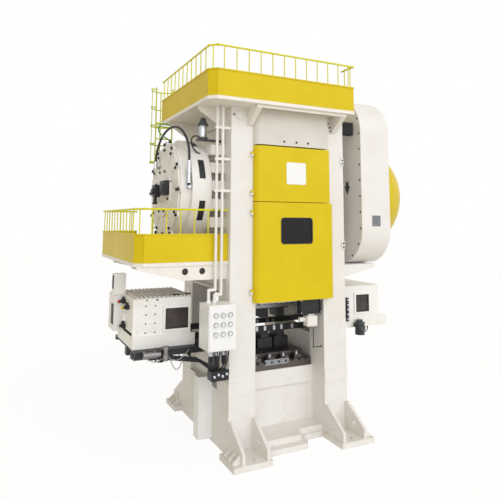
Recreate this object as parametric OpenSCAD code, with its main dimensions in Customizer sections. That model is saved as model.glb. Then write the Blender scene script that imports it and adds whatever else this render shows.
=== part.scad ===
// Mechanical hot forging press with a walking-beam transfer, on its floor feet.
// Millimetres; X to the right, Y to the rear, Z up; the origin is on the floor under the crankshaft.

/* [Frame] */
// Width of the frame over both uprights
frame_w = 2680; // [2500:10:2900]
// Depth of the frame from front face to rear face
frame_d = 2600; // [2450:10:2800]
// Width of one column, seen from the front
column_w = 550; // [480:10:600]
// Depth of one column, seen from the side
column_d = 550; // [480:10:600]
// Height of the frame top, which carries the upper platform
frame_top = 6540; // [6450:10:6700]
// Height of the bed table that carries the bolster
bed_top = 1280; // [1200:10:1340]
// Height of the joint between bed and uprights
joint_z = 1040; // [960:10:1100]
// Thickness of the web between the two columns of an upright
web_t = 340; // [280:10:360]
// Distance of the web from the outer face of the columns
web_inset = 100; // [60:5:140]
// Lower edge of the transfer window in the upright
window_z0 = 1880; // [1860:5:1890]
// Upper edge of the transfer window in the upright
window_z1 = 2900; // [2850:10:3000]
// How far the band over the frame joint stands proud
band_proud = 10; // [5:1:20]
// Height of the bed's front ledge
ledge_h = 330; // [280:10:360]
// How far the floor apron reaches past the front
apron_out = 320; // [260:10:380]
// Where the floor apron steps back, from the middle
apron_x = 250; // [150:10:350]
// Height of one step of the floor apron
apron_h = 105; // [80:5:130]
// Setback of the apron's second step
apron_step = 170; // [140:10:200]

/* [Feet] */
// Length of a foot plate in front of the frame
foot_len = 640; // [500:10:700]
// Thickness of a foot plate
foot_t = 100; // [80:5:120]
// How far a foot plate reaches past the frame's side
foot_side = 170; // [150:5:220]
// Height of the gussets on a foot
gusset_h = 620; // [500:10:700]
// Thickness of a gusset plate
gusset_t = 60; // [40:5:80]
// Radius of an anchor hole
anchor_r = 45; // [35:1:55]

/* [Doors] */
// How far the doors lap over the left column
cover_lap = 70; // [40:5:90]
// Depth of the doors and of the crown cover
cover_d = 140; // [120:5:160]
// Radius of the rolled left edge
cover_r = 130; // [90:5:140]
// Sheet thickness of doors and covers
sheet_t = 10; // [6:1:14]
// How far the upper door laps over the right column
upper_lap = 90; // [60:5:110]
// How far the lower door laps over the right column
lower_lap = 140; // [100:5:170]
// Lower edge of the lower door
door_z0 = 2716; // [2700:2:2760]
// Split between the doors
door_z1 = 4661; // [4600:1:4700]
// Upper edge of the upper door
door_z2 = 5782; // [5720:2:5820]
// Gap around a door
door_gap = 12; // [8:1:20]
// Hinge axis, distance left of the door edge
hinge_out = 40; // [36:1:50]
// Hinge axis, distance in front of the frame
hinge_fwd = 50; // [45:1:60]
// Radius of a hinge pin
pin_r = 14; // [10:1:18]
// Radial play of a hinge pin
pin_play = 0.05; // [0.02:0.01:0.08]
// Width of the inspection window
pane_w = 728; // [600:4:760]
// Height of the inspection window
pane_h = 506; // [400:2:600]

/* [Drive] */
// Height of the crankshaft axis
shaft_z = 4880; // [4820:10:4940]
// Throw of the eccentric, half the stroke
throw = 150; // [110:5:150]
// Radius of the main journals
journal_r = 260; // [220:5:280]
// Radius of the eccentric sheave
sheave_r = 420; // [415:1:430]
// Width of the eccentric sheave
sheave_w = 560; // [500:10:600]
// Radial play in the bearings
bearing_play = 0.1; // [0.05:0.01:0.2]
// Wall of the bearing bushes
bush_t = 60; // [40:5:80]
// Outer radius of the connecting rod's big end
big_end_r = 640; // [560:10:660]
// Radius of the connecting rod's small end
small_end_r = 260; // [220:10:280]
// Distance from big end to small end
rod_len = 1330; // [1300:5:1360]
// Radius of the wrist pin
wrist_r = 130; // [100:5:150]
// Radius of the flywheel
flywheel_r = 1250; // [1100:10:1290]
// Width of the flywheel rim
flywheel_w = 520; // [400:10:540]

/* [Slide and dies] */
// Height of the slide
slide_h = 1410; // [1300:10:1430]
// Distance of the slide's front from the frame's front face
slide_inset = 250; // [230:5:350]
// Thickness of the gib liners
gib_t = 60; // [40:5:80]
// Play between slide and gibs
gib_play = 0.5; // [0.3:0.1:1]
// Depth of the conrod pocket in the slide
pocket_h = 1050; // [1000:10:1100]
// Depth of the upper die holder
holder_d = 1120; // [1000:10:1200]
// Thickness of the upper die holder
holder_t = 180; // [150:5:200]
// Height of the upper dies
upper_die_h = 270; // [220:5:280]
// Height of the lower dies
lower_die_h = 330; // [250:5:340]
// Pitch of the three die stations
die_pitch = 400; // [360:5:420]
// Width and depth of a die block
die_w = 350; // [300:5:355]
// Height left between the dies at the bottom of the stroke
shut_gap = 2; // [1:1:10]

/* [Brake] */
// Outer radius of the brake drum
drum_r = 1000; // [900:10:1040]
// Outer radius of the slotted guard band
band_r = 1090; // [1060:5:1120]
// Left face of the brake drum, distance from the frame's side
drum_out = 910; // [860:10:960]
// Right face of the guard band, distance from the frame's side
band_in = 310; // [260:10:360]
// Left face of the guard band, distance from the frame's side
band_out = 710; // [660:10:760]
// Gap between the brake's neck and the columns
neck_gap = 50; // [40:5:120]
// Number of lugs on the brake cover
lug_n = 12; // [8:1:16]
// Radius of the air hose
hose_r = 24; // [18:1:30]
// Number of slots in the guard band
slot_n = 8; // [6:1:10]

/* [Flywheel guard] */
// Inner face of the guard, distance from the frame's side
guard_gap = 460; // [410:10:510]
// Width of the guard
guard_w = 780; // [740:10:840]
// Depth of the guard
guard_d = 2720; // [2700:10:2840]
// Underside of the guard
guard_z0 = 3340; // [3300:10:3440]
// Top of the guard
guard_z1 = 7110; // [7000:10:7160]
// Corner radius of the guard
guard_r = 800; // [600:10:900]
// Wall of the guard
guard_t = 14; // [10:1:20]
// Base radius of the domed cover
dome_r = 1330; // [1300:5:1345]
// Height of the domed cover
dome_h = 1070; // [900:10:1100]

/* [Upper platform] */
// How far the upper platform reaches past the left side
top_left = 660; // [580:10:740]
// How far the upper platform stays back from the right side
top_right = 40; // [0:5:90]
// How far the upper platform reaches past the front
top_front = 500; // [400:10:600]
// How far the upper platform reaches past the rear
top_rear = 30; // [20:5:80]
// Thickness of a platform deck
deck_t = 66; // [50:2:80]
// Height of the kick skirt above the deck
skirt_h = 518; // [400:2:560]
// Height of the handrail above the deck
rail_h = 994; // [900:2:1000]
// Cut of the platform corners
corner = 150; // [100:5:200]
// Handrail radius
rail_r = 18; // [15:1:22]
// Spacing of the rail posts
post_step = 270; // [240:5:330]

/* [Side platform] */
// How far the side platform reaches past the left side
side_left = 1800; // [1740:10:1860]
// How far the side platform stays back from the front
side_front = 110; // [100:5:140]
// How far the side platform reaches past the rear
side_rear = 700; // [650:10:800]
// Underside of the side platform's deck
side_z = 3444; // [3430:2:3480]
// Depth of the cantilever beams under it
beam_drop = 270; // [200:5:280]

/* [Ladder] */
// Width of the ladder between its sides
ladder_w = 400; // [380:5:450]
// Radius of the cage hoops
cage_r = 320; // [310:5:360]
// Height of the cage's start above the side platform
cage_start = 2130; // [2050:10:2250]
// Number of cage hoops
hoops = 5; // [4:1:7]

/* [Transfer] */
// Underside of the transfer beams
tbeam_z = 1960; // [1950:1:1970]
// Height of a transfer beam
tbeam_h = 110; // [90:1:115]
// Thickness of a transfer beam
tbeam_t = 90; // [70:1:95]
// Open position of a transfer beam, distance from the middle
tbeam_y = 420; // [415:1:430]
// Closing travel of a transfer beam
clamp_travel = 80; // [60:1:80]
// Distance of the beams' left ends from the infeed housing's end
beam_back = 300; // [260:10:340]
// Distance of the beams' right ends from the outfeed housing's end
beam_front = 450; // [430:10:500]
// Gap between the infeed housing and the upright
infeed_gap = 520; // [440:10:560]
// Length of the infeed housing
infeed_len = 1140; // [1100:10:1200]
// Length of the neck between the upright and the outfeed housing
neck_len = 150; // [100:10:200]
// Length of the outfeed housing
outfeed_len = 1320; // [1300:10:1400]
// Depth of the transfer housings
housing_d = 1200; // [1160:10:1300]
// Underside of the transfer housings
housing_z0 = 2120; // [2110:2:2140]
// Top of the transfer housings
housing_z1 = 2810; // [2800:2:2840]

/* [Services] */
// Width of the gauge box
gauge_box_w = 540; // [480:10:600]
// Height of the gauge box
gauge_box_h = 800; // [700:10:860]
// Depth of the gauge box
gauge_box_d = 470; // [400:10:520]
// Underside of the gauge box
gauge_box_z = 1970; // [1900:10:2000]
// Radius of a gauge
gauge_r = 42; // [32:1:48]
// Radius of the service pipes
pipe_r = 28; // [20:1:34]

/* [Hidden] */
$fn = 64;
cream = "#ECE6DA";
yellow = "#E3CD28";
steel = "#9A9C9E";
dark = "#34363A";
bronze = "#B08A4A";
glass = "#1B1D20";
// frame faces
fx = frame_w / 2;
fy = frame_d / 2;
ox = fx - column_w;
cy = fy - column_d;
wx1 = fx - web_inset;
wx0 = wx1 - web_t;
// doors
cover_x = ox + cover_lap;
upper_door_x = ox + upper_lap;
lower_door_x = ox + lower_lap;
// slide at the top of its stroke, with the dies below it
stroke = 2 * throw;
slide_d = frame_d - 2 * slide_inset;
bolster_t = tbeam_z - 70 - lower_die_h - bed_top;
lower_die_z = bed_top + bolster_t;
upper_die_z = lower_die_z + lower_die_h + shut_gap + stroke;
holder_z = upper_die_z + upper_die_h;
slide_z = holder_z + holder_t;
slide_top = slide_z + slide_h;
slide_x = ox - gib_t - gib_play;
big_end_z = shaft_z + throw;
small_end_z = big_end_z - rod_len;
// brake and flywheel guard
drum_x = fx + drum_out;
band_x0 = fx + band_in;
band_x1 = fx + band_out;
neck_r = cy - neck_gap;
neck_t = 250;
band_rib_z = shaft_z - 730;
guard_x0 = fx + guard_gap;
guard_x1 = guard_x0 + guard_w;
cover_face = drum_x + 40;
lug_r = drum_r - 15;
hub_face = cover_face + 40;
// platforms
top_x0 = fx + top_left;
top_x1 = fx - top_right;
top_y0 = fy + top_front;
top_y1 = fy + top_rear;
side_x0 = fx + side_left;
side_y0 = fy - side_front;
side_y1 = fy + side_rear;
top_z = frame_top + deck_t;
rail_top = top_z + rail_h;
side_top = side_z + deck_t;
post_r = 11;
skirt_t = 12;
cage_z0 = side_top + cage_start;
cage_z1 = rail_top - 200;
ladder_x = -top_x0 + 80;
ladder_y = top_y1 + 60;
// transfer line
hy = housing_d / 2;
infeed_x1 = fx + infeed_gap;
infeed_x0 = infeed_x1 + infeed_len;
outfeed_x0 = fx + neck_len;
outfeed_x1 = outfeed_x0 + outfeed_len;
tbeam_x0 = infeed_x0 - beam_back;
tbeam_x1 = outfeed_x1 - beam_front;
ledge_z = 2450;
carriage_z = 150;
yoke_z = 2250;
tray_z = 1900;
cabinet_w = 190;
infeed_win = [-infeed_x1 - 510, -infeed_x1 - 70];
outfeed_win = [outfeed_x0 + 660, outfeed_x0 + 1010];
win_z = [housing_z0 + 110, housing_z0 + 480];
carriages = [-tbeam_x0 + 60, outfeed_x0 + 30];
// gauge box and service pipes
gauge_x1 = -fx - 20;
gauge_y0 = -fy - 350;
pipe_xs = [-fx - 163, -fx - 283];
pipe_y = -fy + 45;
pipe_jog = 130;
clip_z = side_top + rail_h + 330;
// hinge axis
hinge_x = -cover_x - hinge_out;
hinge_y = -fy - hinge_fwd;
knuckle_r = pin_r + 12;
knuckle_h = 46;
upper_hinges = [door_z1 + 170, door_z2 - 180];
lower_hinges = [door_z0 + 204, door_z1 - 220];

// block given by its limits along X, Y and Z
module box(x, y, z) {
    translate([x[0], y[0], z[0]])
        cube([x[1] - x[0], y[1] - y[0], z[1] - z[0]]);
}

// round bar along X, Y or Z
module xbar(x, y, z, r) {
    translate([x[0], y, z])
        rotate([0, 90, 0])
            cylinder(h = x[1] - x[0], r = r);
}

module ybar(y, x, z, r) {
    translate([x, y[1], z])
        rotate([90, 0, 0])
            cylinder(h = y[1] - y[0], r = r);
}

module zbar(z, x, y, r) {
    translate([x, y, z[0]])
        cylinder(h = z[1] - z[0], r = r);
}

// ring with its axis along X
module xring(x, y, z, ro, ri) {
    difference() {
        xbar(x, y, z, ro);
        xbar([x[0] - 1, x[1] + 1], y, z, ri);
    }
}

// plate standing in the YZ plane, outline as [y, z]
module yz_plate(x, outline) {
    translate([x[0], 0, 0])
        rotate([90, 0, 90])
            linear_extrude(x[1] - x[0])
                polygon(outline);
}

// plate standing in the XZ plane, outline as [x, z]
module xz_plate(y, outline) {
    translate([0, y[1], 0])
        rotate([90, 0, 0])
            linear_extrude(y[1] - y[0])
                polygon(outline);
}

// tube or hose through a list of points, with round corners
module run(points, r) {
    for (i = [0 : len(points) - 2]) {
        d = points[i + 1] - points[i];
        l = norm(d);
        translate(points[i])
            rotate([0, acos(d[2] / l), atan2(d[1], d[0])])
                cylinder(h = l, r = r, $fn = 24);
        if (i > 0)
            translate(points[i])
                sphere(r = r, $fn = 24);
    }
}

// rectangle with round corners, centred
module round_rect(w, h, r) {
    square([w - 2 * r, h], center = true);
    square([w, h - 2 * r], center = true);
    for (sx = [-1, 1], sy = [-1, 1])
        translate([sx * (w / 2 - r), sy * (h / 2 - r)])
            circle(r);
}

module both_sides() {
    children();
    mirror([1, 0, 0])
        children();
}

module front_and_rear() {
    children();
    mirror([0, 1, 0])
        children();
}

// frame

// foot at the front right: plate, two tall gussets with a lifting hole, three short ribs outside
module foot() {
    toe = fy + foot_len;
    rib = foot_side - 20;
    difference() {
        union() {
            box([ox - 40, fx + foot_side], [-toe, -fy], [0, foot_t]);
            for (x = [ox, fx - gusset_t])
                yz_plate([x, x + gusset_t], [
                    [-fy, foot_t], [-fy, gusset_h], [-fy - 90, gusset_h],
                    [-toe + 30, foot_t + 170], [-toe + 30, foot_t]]);
            for (i = [0 : 2])
                xz_plate([-fy - 170 - 180 * i, -fy - 130 - 180 * i],
                    [[fx, foot_t], [fx, foot_t + rib], [fx + rib, foot_t + 30], [fx + rib, foot_t]]);
        }
        zbar([-1, foot_t + 1], (ox + fx) / 2, -fy - foot_len * 0.72, anchor_r);
        xbar([ox - 1, fx + 1], -fy - foot_len * 0.45, foot_t + 190, 50);
    }
}

module bed() {
    panel_y = cy + 40;
    ledge_y = cy + 100;
    color(cream) {
        both_sides() {
            box([ox, fx], [-fy, fy], [0, joint_z]);
            front_and_rear() {
                foot();
                // hollow between the panel and the column
                difference() {
                    box([ox - 120, ox + 1], [-panel_y - 120, -panel_y + 1], [0, bed_top - ledge_h]);
                    zbar([-1, bed_top], ox - 120, -panel_y - 120, 112);
                }
            }
        }
        box([-ox - 1, ox + 1], [-panel_y, panel_y], [0, joint_z]);
        box([-ox, ox], [-panel_y, panel_y], [joint_z - 1, bed_top]);
        box([-ox, ox], [-ledge_y, ledge_y], [bed_top - ledge_h, bed_top]);
        // round cover in the front panel
        ybar([-panel_y - 6, -panel_y + 1], 330, 520, 195);
        linear_extrude(apron_h)
            apron_plan(0);
        linear_extrude(apron_h * 2)
            apron_plan(apron_step);
    }
}

// outline of the floor apron, its right end stepping back in a double curve
module apron_plan(inset) {
    y0 = -fy - apron_out + inset;
    y1 = -fy + 30 + inset * 0.4;
    x = apron_x - inset * 0.4;
    r = (y1 - y0) * 0.42;
    difference() {
        union() {
            translate([-ox - 1, y0])
                square([x + ox + 1, -cy - y0]);
            translate([-ox - 1, y1])
                square([2 * ox + 2, -cy - y1]);
        }
        difference() {
            translate([x - r, y0 - 1])
                square([r + 1, r + 1]);
            translate([x - r, y0 + r])
                circle(r);
        }
    }
    difference() {
        translate([x - 1, y1 - r])
            square([r + 1, r + 1]);
        translate([x + r, y1 - r])
            circle(r);
    }
}

// right-hand upright: two columns, a ribbed web with the main bearing, a transfer window below it
module upright(boss) {
    difference() {
        union() {
            front_and_rear() {
                box([ox, fx], [-fy, -cy], [joint_z, frame_top]);
                box([ox, fx + band_proud], [-fy - band_proud, -cy], [joint_z, bed_top]);
                if (boss)
                    ybar([-fy - 25, -fy], fx - 180, frame_top - 165, 95);
            }
            box([wx0, wx1], [-cy - 1, cy + 1], [window_z1, frame_top]);
            box([wx0, wx1], [-cy - 1, cy + 1], [joint_z, window_z0]);
            for (z = [window_z1, window_z1 + 480, shaft_z + neck_r + 160, frame_top - 300])
                box([wx1 - 1, fx - 20], [-cy - 1, cy + 1], [z, z + 50]);
        }
        xbar([wx0 - 1, fx + 1], 0, shaft_z, journal_r + bush_t);
        front_and_rear()
            for (x = [fx - 55, ox + 175])
                ybar([-fy - 26, -fy + 120], x, frame_top - 150, 26);
    }
}

module right_upright() {
    color(cream)
        upright(false);
}

module left_upright() {
    color(cream)
        mirror([1, 0, 0])
            upright(true);
}

module crown() {
    z0 = shaft_z + big_end_r + throw + 290;
    color(cream)
        difference() {
            box([-ox, ox], [-fy + 120, fy - 120], [z0, frame_top]);
            xbar([-ox - 1, ox + 1], 0, shaft_z, big_end_r + throw + 330);
        }
}

// plan of a door or cover with its rolled left edge; inset shrinks it for the inside
module cover_plan(x1, back, inset) {
    r = cover_r - inset;
    x0 = -cover_x + inset;
    y0 = -fy - cover_d + inset;
    translate([x0 + r, y0])
        square([x1 - inset - x0 - r, back - y0]);
    translate([x0, y0 + r])
        square([r, back - y0 - r]);
    translate([x0 + r, y0 + r])
        intersection() {
            circle(r);
            translate([-r, -r])
                square(r);
        }
}

// folded sheet tray, open to the rear
module cover_tray(x1, z, back) {
    difference() {
        translate([0, 0, z[0]])
            linear_extrude(z[1] - z[0])
                cover_plan(x1, back, 0);
        translate([0, 0, z[0] + sheet_t])
            linear_extrude(z[1] - z[0] - 2 * sheet_t)
                cover_plan(x1, back + 1, sheet_t);
    }
}

module crown_cover() {
    color(cream)
        cover_tray(upper_door_x - 30, [door_z2 + 25, frame_top - 4], -fy);
}

module rear_cover() {
    color(cream) {
        box([-cover_x, cover_x], [fy, fy + 40], [door_z0, frame_top - 60]);
        for (x = [-cover_x + 60, cover_x - 60], i = [0 : 6])
            ybar([fy + 40, fy + 55], x, door_z0 + 150 + i * 560, 20);
    }
}

// hinge half on a door: knuckle and leaf above the frame lug
module door_knuckle(z) {
    difference() {
        union() {
            zbar([z, z + knuckle_h], hinge_x, hinge_y, knuckle_r);
            box([hinge_x, -cover_x + sheet_t], [hinge_y - 10, hinge_y + 10], [z, z + knuckle_h]);
        }
        zbar([z - 1, z + knuckle_h + 1], hinge_x, hinge_y, pin_r + pin_play);
    }
}

// frame lugs with their pins, one below each door knuckle
module hinge_lugs() {
    color(cream)
        for (z = concat(upper_hinges, lower_hinges)) {
            zbar([z - knuckle_h, z], hinge_x, hinge_y, knuckle_r);
            box([hinge_x - 20, hinge_x + 20], [hinge_y, -fy], [z - knuckle_h, z]);
            zbar([z, z + knuckle_h + 8], hinge_x, hinge_y, pin_r);
        }
}

module door_upper() {
    color(yellow) {
        cover_tray(upper_door_x, [door_z1 + door_gap / 2, door_z2], -fy - 4);
        for (z = upper_hinges)
            door_knuckle(z);
    }
}

module pane_cut(grow, y, h) {
    translate([75, y, (door_z0 + door_z1) / 2 + 400])
        rotate([90, 0, 0])
            linear_extrude(h)
                round_rect(pane_w + grow, pane_h + grow, 60 + grow / 2);
}

module door_lower() {
    color(yellow) {
        difference() {
            cover_tray(lower_door_x, [door_z0, door_z1 - door_gap / 2], -fy - 4);
            pane_cut(0, -fy - cover_d + 60, 100);
        }
        for (z = lower_hinges)
            door_knuckle(z);
    }
}

module door_glass() {
    color(glass)
        pane_cut(60, -fy - cover_d + sheet_t + 8, 8);
}

// drive

module eccentric_shaft() {
    color(steel) {
        xbar([-wx1 - 20, wx1 + 20], 0, shaft_z, journal_r);
        xbar([-drum_x + 50, -wx1], 0, shaft_z, journal_r - 60);
        xbar([wx1, guard_x1 - 20], 0, shaft_z, journal_r - 80);
        xbar([-sheave_w / 2, sheave_w / 2], 0, big_end_z, sheave_r);
        xbar([guard_x1 - 60, guard_x1 - 20], 0, shaft_z, journal_r);
    }
}

module bearing_bushes() {
    color(bronze)
        both_sides() {
            xring([wx0, wx1], 0, shaft_z, journal_r + bush_t, journal_r + bearing_play);
            xring([wx0 - 40, wx0], 0, shaft_z, journal_r + bush_t + 70, journal_r + bearing_play);
        }
}

// connecting rod: split big end with two bolted ears, tapered shank, small end with the wrist pin
module conrod() {
    w = sheave_w / 2 - 20;
    color(steel)
        difference() {
            union() {
                xbar([-w, w], 0, big_end_z, big_end_r);
                xbar([-w, w], 0, small_end_z, small_end_r);
                yz_plate([-w, w], [
                    [-small_end_r + 20, small_end_z], [small_end_r - 20, small_end_z],
                    [big_end_r * 0.62, big_end_z - 300], [-big_end_r * 0.62, big_end_z - 300]]);
                for (s = [-1, 1])
                    box([-w + 40, w - 40], [s * (big_end_r - 30) - 60, s * (big_end_r - 30) + 60],
                        [big_end_z - 120, big_end_z + 120]);
            }
            xbar([-w - 1, w + 1], 0, big_end_z, sheave_r + bearing_play);
            xbar([-w - 1, w + 1], 0, small_end_z, wrist_r);
            // parting line of the bearing cap
            for (s = [-1, 1], f = [-1, 1])
                box([f * w - 8, f * w + 8], [s * 560 - 200, s * 560 + 200], [big_end_z - 4, big_end_z + 4]);
        }
}

module wrist_pin() {
    w = sheave_w / 2;
    color(steel)
        difference() {
            xbar([-w, w], 0, small_end_z, wrist_r);
            xbar([-w - 1, w + 1], 0, small_end_z, wrist_r * 0.35);
        }
}

module flywheel() {
    x0 = guard_x0 + 80;
    x1 = x0 + flywheel_w;
    bore = journal_r - 80 + bearing_play;
    color(dark)
        difference() {
            union() {
                xring([x0, x1], 0, shaft_z, flywheel_r, flywheel_r - 330);
                xbar([x0 + 160, x1 - 160], 0, shaft_z, flywheel_r - 300);
                xbar([x0, guard_x1 - 60], 0, shaft_z, 380);
            }
            xbar([x0 - 1, guard_x1], 0, shaft_z, bore);
            for (i = [0 : 5])
                translate([0, 0, shaft_z])
                    rotate([60 * i, 0, 0])
                        xbar([x0 - 1, x1 + 1], 640, 0, 150);
        }
}

// slide and dies

module slide() {
    slot_y = throw + small_end_r + 70;
    color(cream)
        difference() {
            union() {
                box([-slide_x, slide_x], [-slide_d / 2, slide_d / 2], [slide_z, slide_top]);
                box([-ox + 170, ox - 170], [-slide_d / 2 - 60, slide_d / 2 + 60], [slide_z, slide_z + 520]);
            }
            box([-sheave_w / 2 - 50, sheave_w / 2 + 50], [-slot_y, slot_y],
                [slide_top - pocket_h, slide_top + 1]);
            // lightening pockets in the front and rear faces
            for (s = [-1, 1], x = [-1, 1])
                box([x * 340 - 220, x * 340 + 220], [s * slide_d / 2 - 160, s * slide_d / 2 + 160],
                    [slide_z + 620, slide_top - 120]);
        }
}

module gibs() {
    color(bronze)
        both_sides()
            front_and_rear()
                box([ox - gib_t, ox], [-fy + 40, -cy], [door_z0 + 4, slide_top + 350]);
}

module upper_holder() {
    color(steel)
        difference() {
            box([-ox + 160, ox - 160], [-holder_d / 2, holder_d / 2], [holder_z, slide_z]);
            for (x = [-1, 1], y = [-1, 1])
                box([x * (ox - 160) - 70, x * (ox - 160) + 70],
                    [y * holder_d * 0.38 - 40, y * holder_d * 0.38 + 40],
                    [holder_z - 1, holder_z + 90]);
        }
}

// base block and narrower insert with its cavity, at each of the three stations
module die_row(seat, base, face) {
    half = die_w / 2;
    insert = die_w * 0.26;
    for (i = [-1 : 1])
        difference() {
            translate([i * die_pitch, 0, 0]) {
                box([-half, half], [-half - 25, half + 25], [min(seat, base), max(seat, base)]);
                box([-insert, insert], [-half, half], [min(base, face), max(base, face)]);
            }
            zbar([face - 30, face + 30], i * die_pitch, 0, insert * 0.72 - 8 * i);
            if (i == 0)
                zbar([face - 55, face + 55], 0, 0, insert * 0.4);
        }
}

module upper_dies() {
    color(dark)
        die_row(holder_z, holder_z - upper_die_h * 0.33, upper_die_z);
}

module lower_dies() {
    color(dark)
        die_row(lower_die_z, lower_die_z + lower_die_h * 0.62, lower_die_z + lower_die_h);
}

module bolster() {
    half = cy + 60;
    shoe = holder_d / 2 + 60;
    color(steel)
        difference() {
            union() {
                box([-ox + 20, ox - 20], [-half, half], [bed_top, bed_top + bolster_t * 0.55]);
                box([-ox + 110, ox - 110], [-shoe, shoe], [bed_top, lower_die_z]);
                // clamp blocks along the front and rear of the die shoe
                front_and_rear()
                    for (x = [-480, -160, 160, 480])
                        box([x - 85, x + 85], [-half + 30, -shoe + 1],
                            [bed_top + bolster_t * 0.5, bed_top + bolster_t * 0.82]);
            }
            for (x = [-ox + 60, ox - 60], y = [-0.83, -0.28, 0.28, 0.83])
                zbar([bed_top + bolster_t * 0.35, lower_die_z], x, y * half, 26);
        }
}

// cover over the right front gib, under the lower door, on a flange at the column
module gib_block() {
    y1 = -slide_d / 2 - 80;
    y0 = y1 - slide_inset * 0.6;
    z1 = door_z0 - 12;
    color(dark) {
        difference() {
            box([ox - 540, ox - 45], [y0, y1], [z1 - 300, z1]);
            box([ox - 510, ox - 75], [y0 - 10, y0 + 25], [z1 - 270, z1 - 40]);
        }
        box([ox - 45, ox], [y1 - 40, y1], [z1 - 300, z1]);
    }
}

// light cream sensor box hung under the gib cover, with a nozzle arm
module sensor_box() {
    y1 = -slide_d / 2 - 85;
    y0 = y1 - slide_inset * 0.58;
    z1 = door_z0 - 312;
    color(cream) {
        box([ox - 390, ox - 145], [y0, y1], [z1 - 245, z1 - 40]);
        box([ox - 340, ox - 200], [y0 + 30, y1 - 20], [z1 - 41, z1]);
        box([ox - 520, ox - 390], [y1 - 70, y1 - 10], [z1 - 150, z1 - 70]);
        zbar([z1 - 275, z1 - 240], ox - 200, (y0 + y1) / 2, 24);
    }
}

// brake on the left shaft end

module brake_drum() {
    color(cream)
        xring([-drum_x, -band_x0 - 20], 0, shaft_z, drum_r, drum_r - 60);
}

module brake_band() {
    slot_w = 130;
    slot_l = 420;
    bore = max(neck_r - neck_t, journal_r + bush_t + 20);
    color(cream) {
        difference() {
            xring([-band_x1, -band_x0], 0, shaft_z, band_r, band_r - 25);
            for (i = [0 : slot_n - 1])
                translate([-band_x0 - 120 - slot_w, 0, shaft_z])
                    rotate([360 / slot_n * (i + 0.5), 0, 0])
                        box([0, slot_w], [band_r - 100, band_r + 50], [-slot_l / 2, slot_l / 2]);
        }
        xring([-band_x1, -band_x1 + 20], 0, shaft_z, band_r - 20, drum_r);
        xring([-band_x0 - 20, -band_x0], 0, shaft_z, band_r - 20, bore);
        xring([-band_x0, -wx1], 0, shaft_z, neck_r, bore);
        // bolted ribs between the band and the front column
        for (i = [0 : 4])
            translate([0, 0, band_rib_z + i * 360])
                box([-band_x0 - 1, -fx], [-cy - 250, -cy - 30], [0, 200]);
    }
}

// lugged cover with a radial pocket inside each lug and a raised hub plate
module brake_cover() {
    seat = -drum_x - 0.2;
    pocket_y = drum_r * 0.72;
    color(cream) {
        difference() {
            union() {
                xbar([-cover_face, seat], 0, shaft_z, drum_r - 50);
                for (i = [0 : lug_n - 1])
                    translate([0, 0, shaft_z])
                        rotate([360 / lug_n * i, 0, 0]) {
                            xbar([-cover_face, seat], lug_r, 0, 68);
                            box([-cover_face, seat], [drum_r * 0.88, lug_r], [-68, 68]);
                        }
            }
            for (i = [0 : lug_n - 1])
                translate([0, 0, shaft_z])
                    rotate([360 / lug_n * i, 0, 0]) {
                        box([-cover_face - 1, -cover_face + 24], [pocket_y - 70, pocket_y + 70], [-44, 44]);
                        for (s = [-1, 1])
                            xbar([-cover_face - 1, -cover_face + 24], pocket_y + s * 70, 0, 48);
                    }
        }
        xbar([-hub_face, -cover_face], 0, shaft_z, drum_r * 0.52);
        xbar([-hub_face - 60, -hub_face], 0, shaft_z, drum_r * 0.23);
    }
}

module hex_head(y, z, face, r) {
    translate([-face - r, y, z])
        rotate([0, 90, 0])
            cylinder(h = r, r = r, $fn = 6);
}

module cover_bolts() {
    color(dark)
        translate([0, 0, shaft_z]) {
            for (i = [0 : lug_n - 1])
                rotate([360 / lug_n * i, 0, 0]) {
                    hex_head(lug_r, 0, cover_face, 34);
                    hex_head(lug_r - 118, 0, cover_face, 30);
                }
            for (i = [0 : 7])
                rotate([45 * i + 22.5, 0, 0])
                    hex_head(drum_r * 0.44, 0, hub_face, 26);
        }
}

// rotary air union at the shaft centre: square body, round neck and an angled pipe stub
module rotary_union() {
    x = -hub_face - 60;
    color(dark) {
        xbar([x - 40, x], 0, shaft_z, 120);
        box([x - 130, x - 40], [-100, 100], [shaft_z - 110, shaft_z + 130]);
        xbar([x - 165, x - 130], 0, shaft_z, 60);
        zbar([shaft_z - 230, shaft_z - 100], x - 85, 0, 38);
        zbar([shaft_z - 270, shaft_z - 230], x - 85, 0, 52);
        ybar([60, 240], x - 85, shaft_z + 20, 40);
    }
}

// air hose in an arch from the cover over the drum to its front, with a rigid pipe at the front end
module brake_hose() {
    a = [-cover_face - 100, 330];
    b = [-cover_face + 175, -drum_r - 46];
    d = b - a;
    arch_r = norm(d) / 2;
    foot_z = shaft_z + 610;
    color(dark) {
        xbar([a[0], -cover_face], a[1], foot_z - 90, 34);
        zbar([foot_z - 130, foot_z + 60], a[0], a[1], hose_r + 9);
        translate([(a[0] + b[0]) / 2, (a[1] + b[1]) / 2, foot_z])
            rotate([90, 0, atan2(d[1], d[0])])
                rotate_extrude(angle = 180)
                    translate([arch_r, 0])
                        circle(hose_r);
        zbar([shaft_z + 60, foot_z + 60], b[0], b[1], hose_r + 9);
        zbar([shaft_z + 270, shaft_z + 320], b[0], b[1], hose_r + 20);
        zbar([shaft_z, shaft_z + 90], b[0], b[1], hose_r + 18);
        ybar([b[1], -drum_r], b[0], shaft_z + 40, 30);
        // bypass ring beside the top of the arch
        translate([(a[0] + b[0]) / 2 - 122, (a[1] + b[1]) / 2, foot_z + arch_r - 12])
            rotate([90, 0, 0])
                rotate_extrude()
                    translate([122, 0])
                        circle(hose_r * 0.55, $fn = 24);
    }
}

// flywheel guard

module guard_outline(inset) {
    translate([0, (guard_z0 + guard_z1) / 2])
        round_rect(guard_d - 2 * inset, guard_z1 - guard_z0 - 2 * inset, guard_r - inset);
}

module guard_body(x, inset) {
    translate([x[0], 0, 0])
        rotate([90, 0, 90])
            linear_extrude(x[1] - x[0])
                guard_outline(inset);
}

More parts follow.
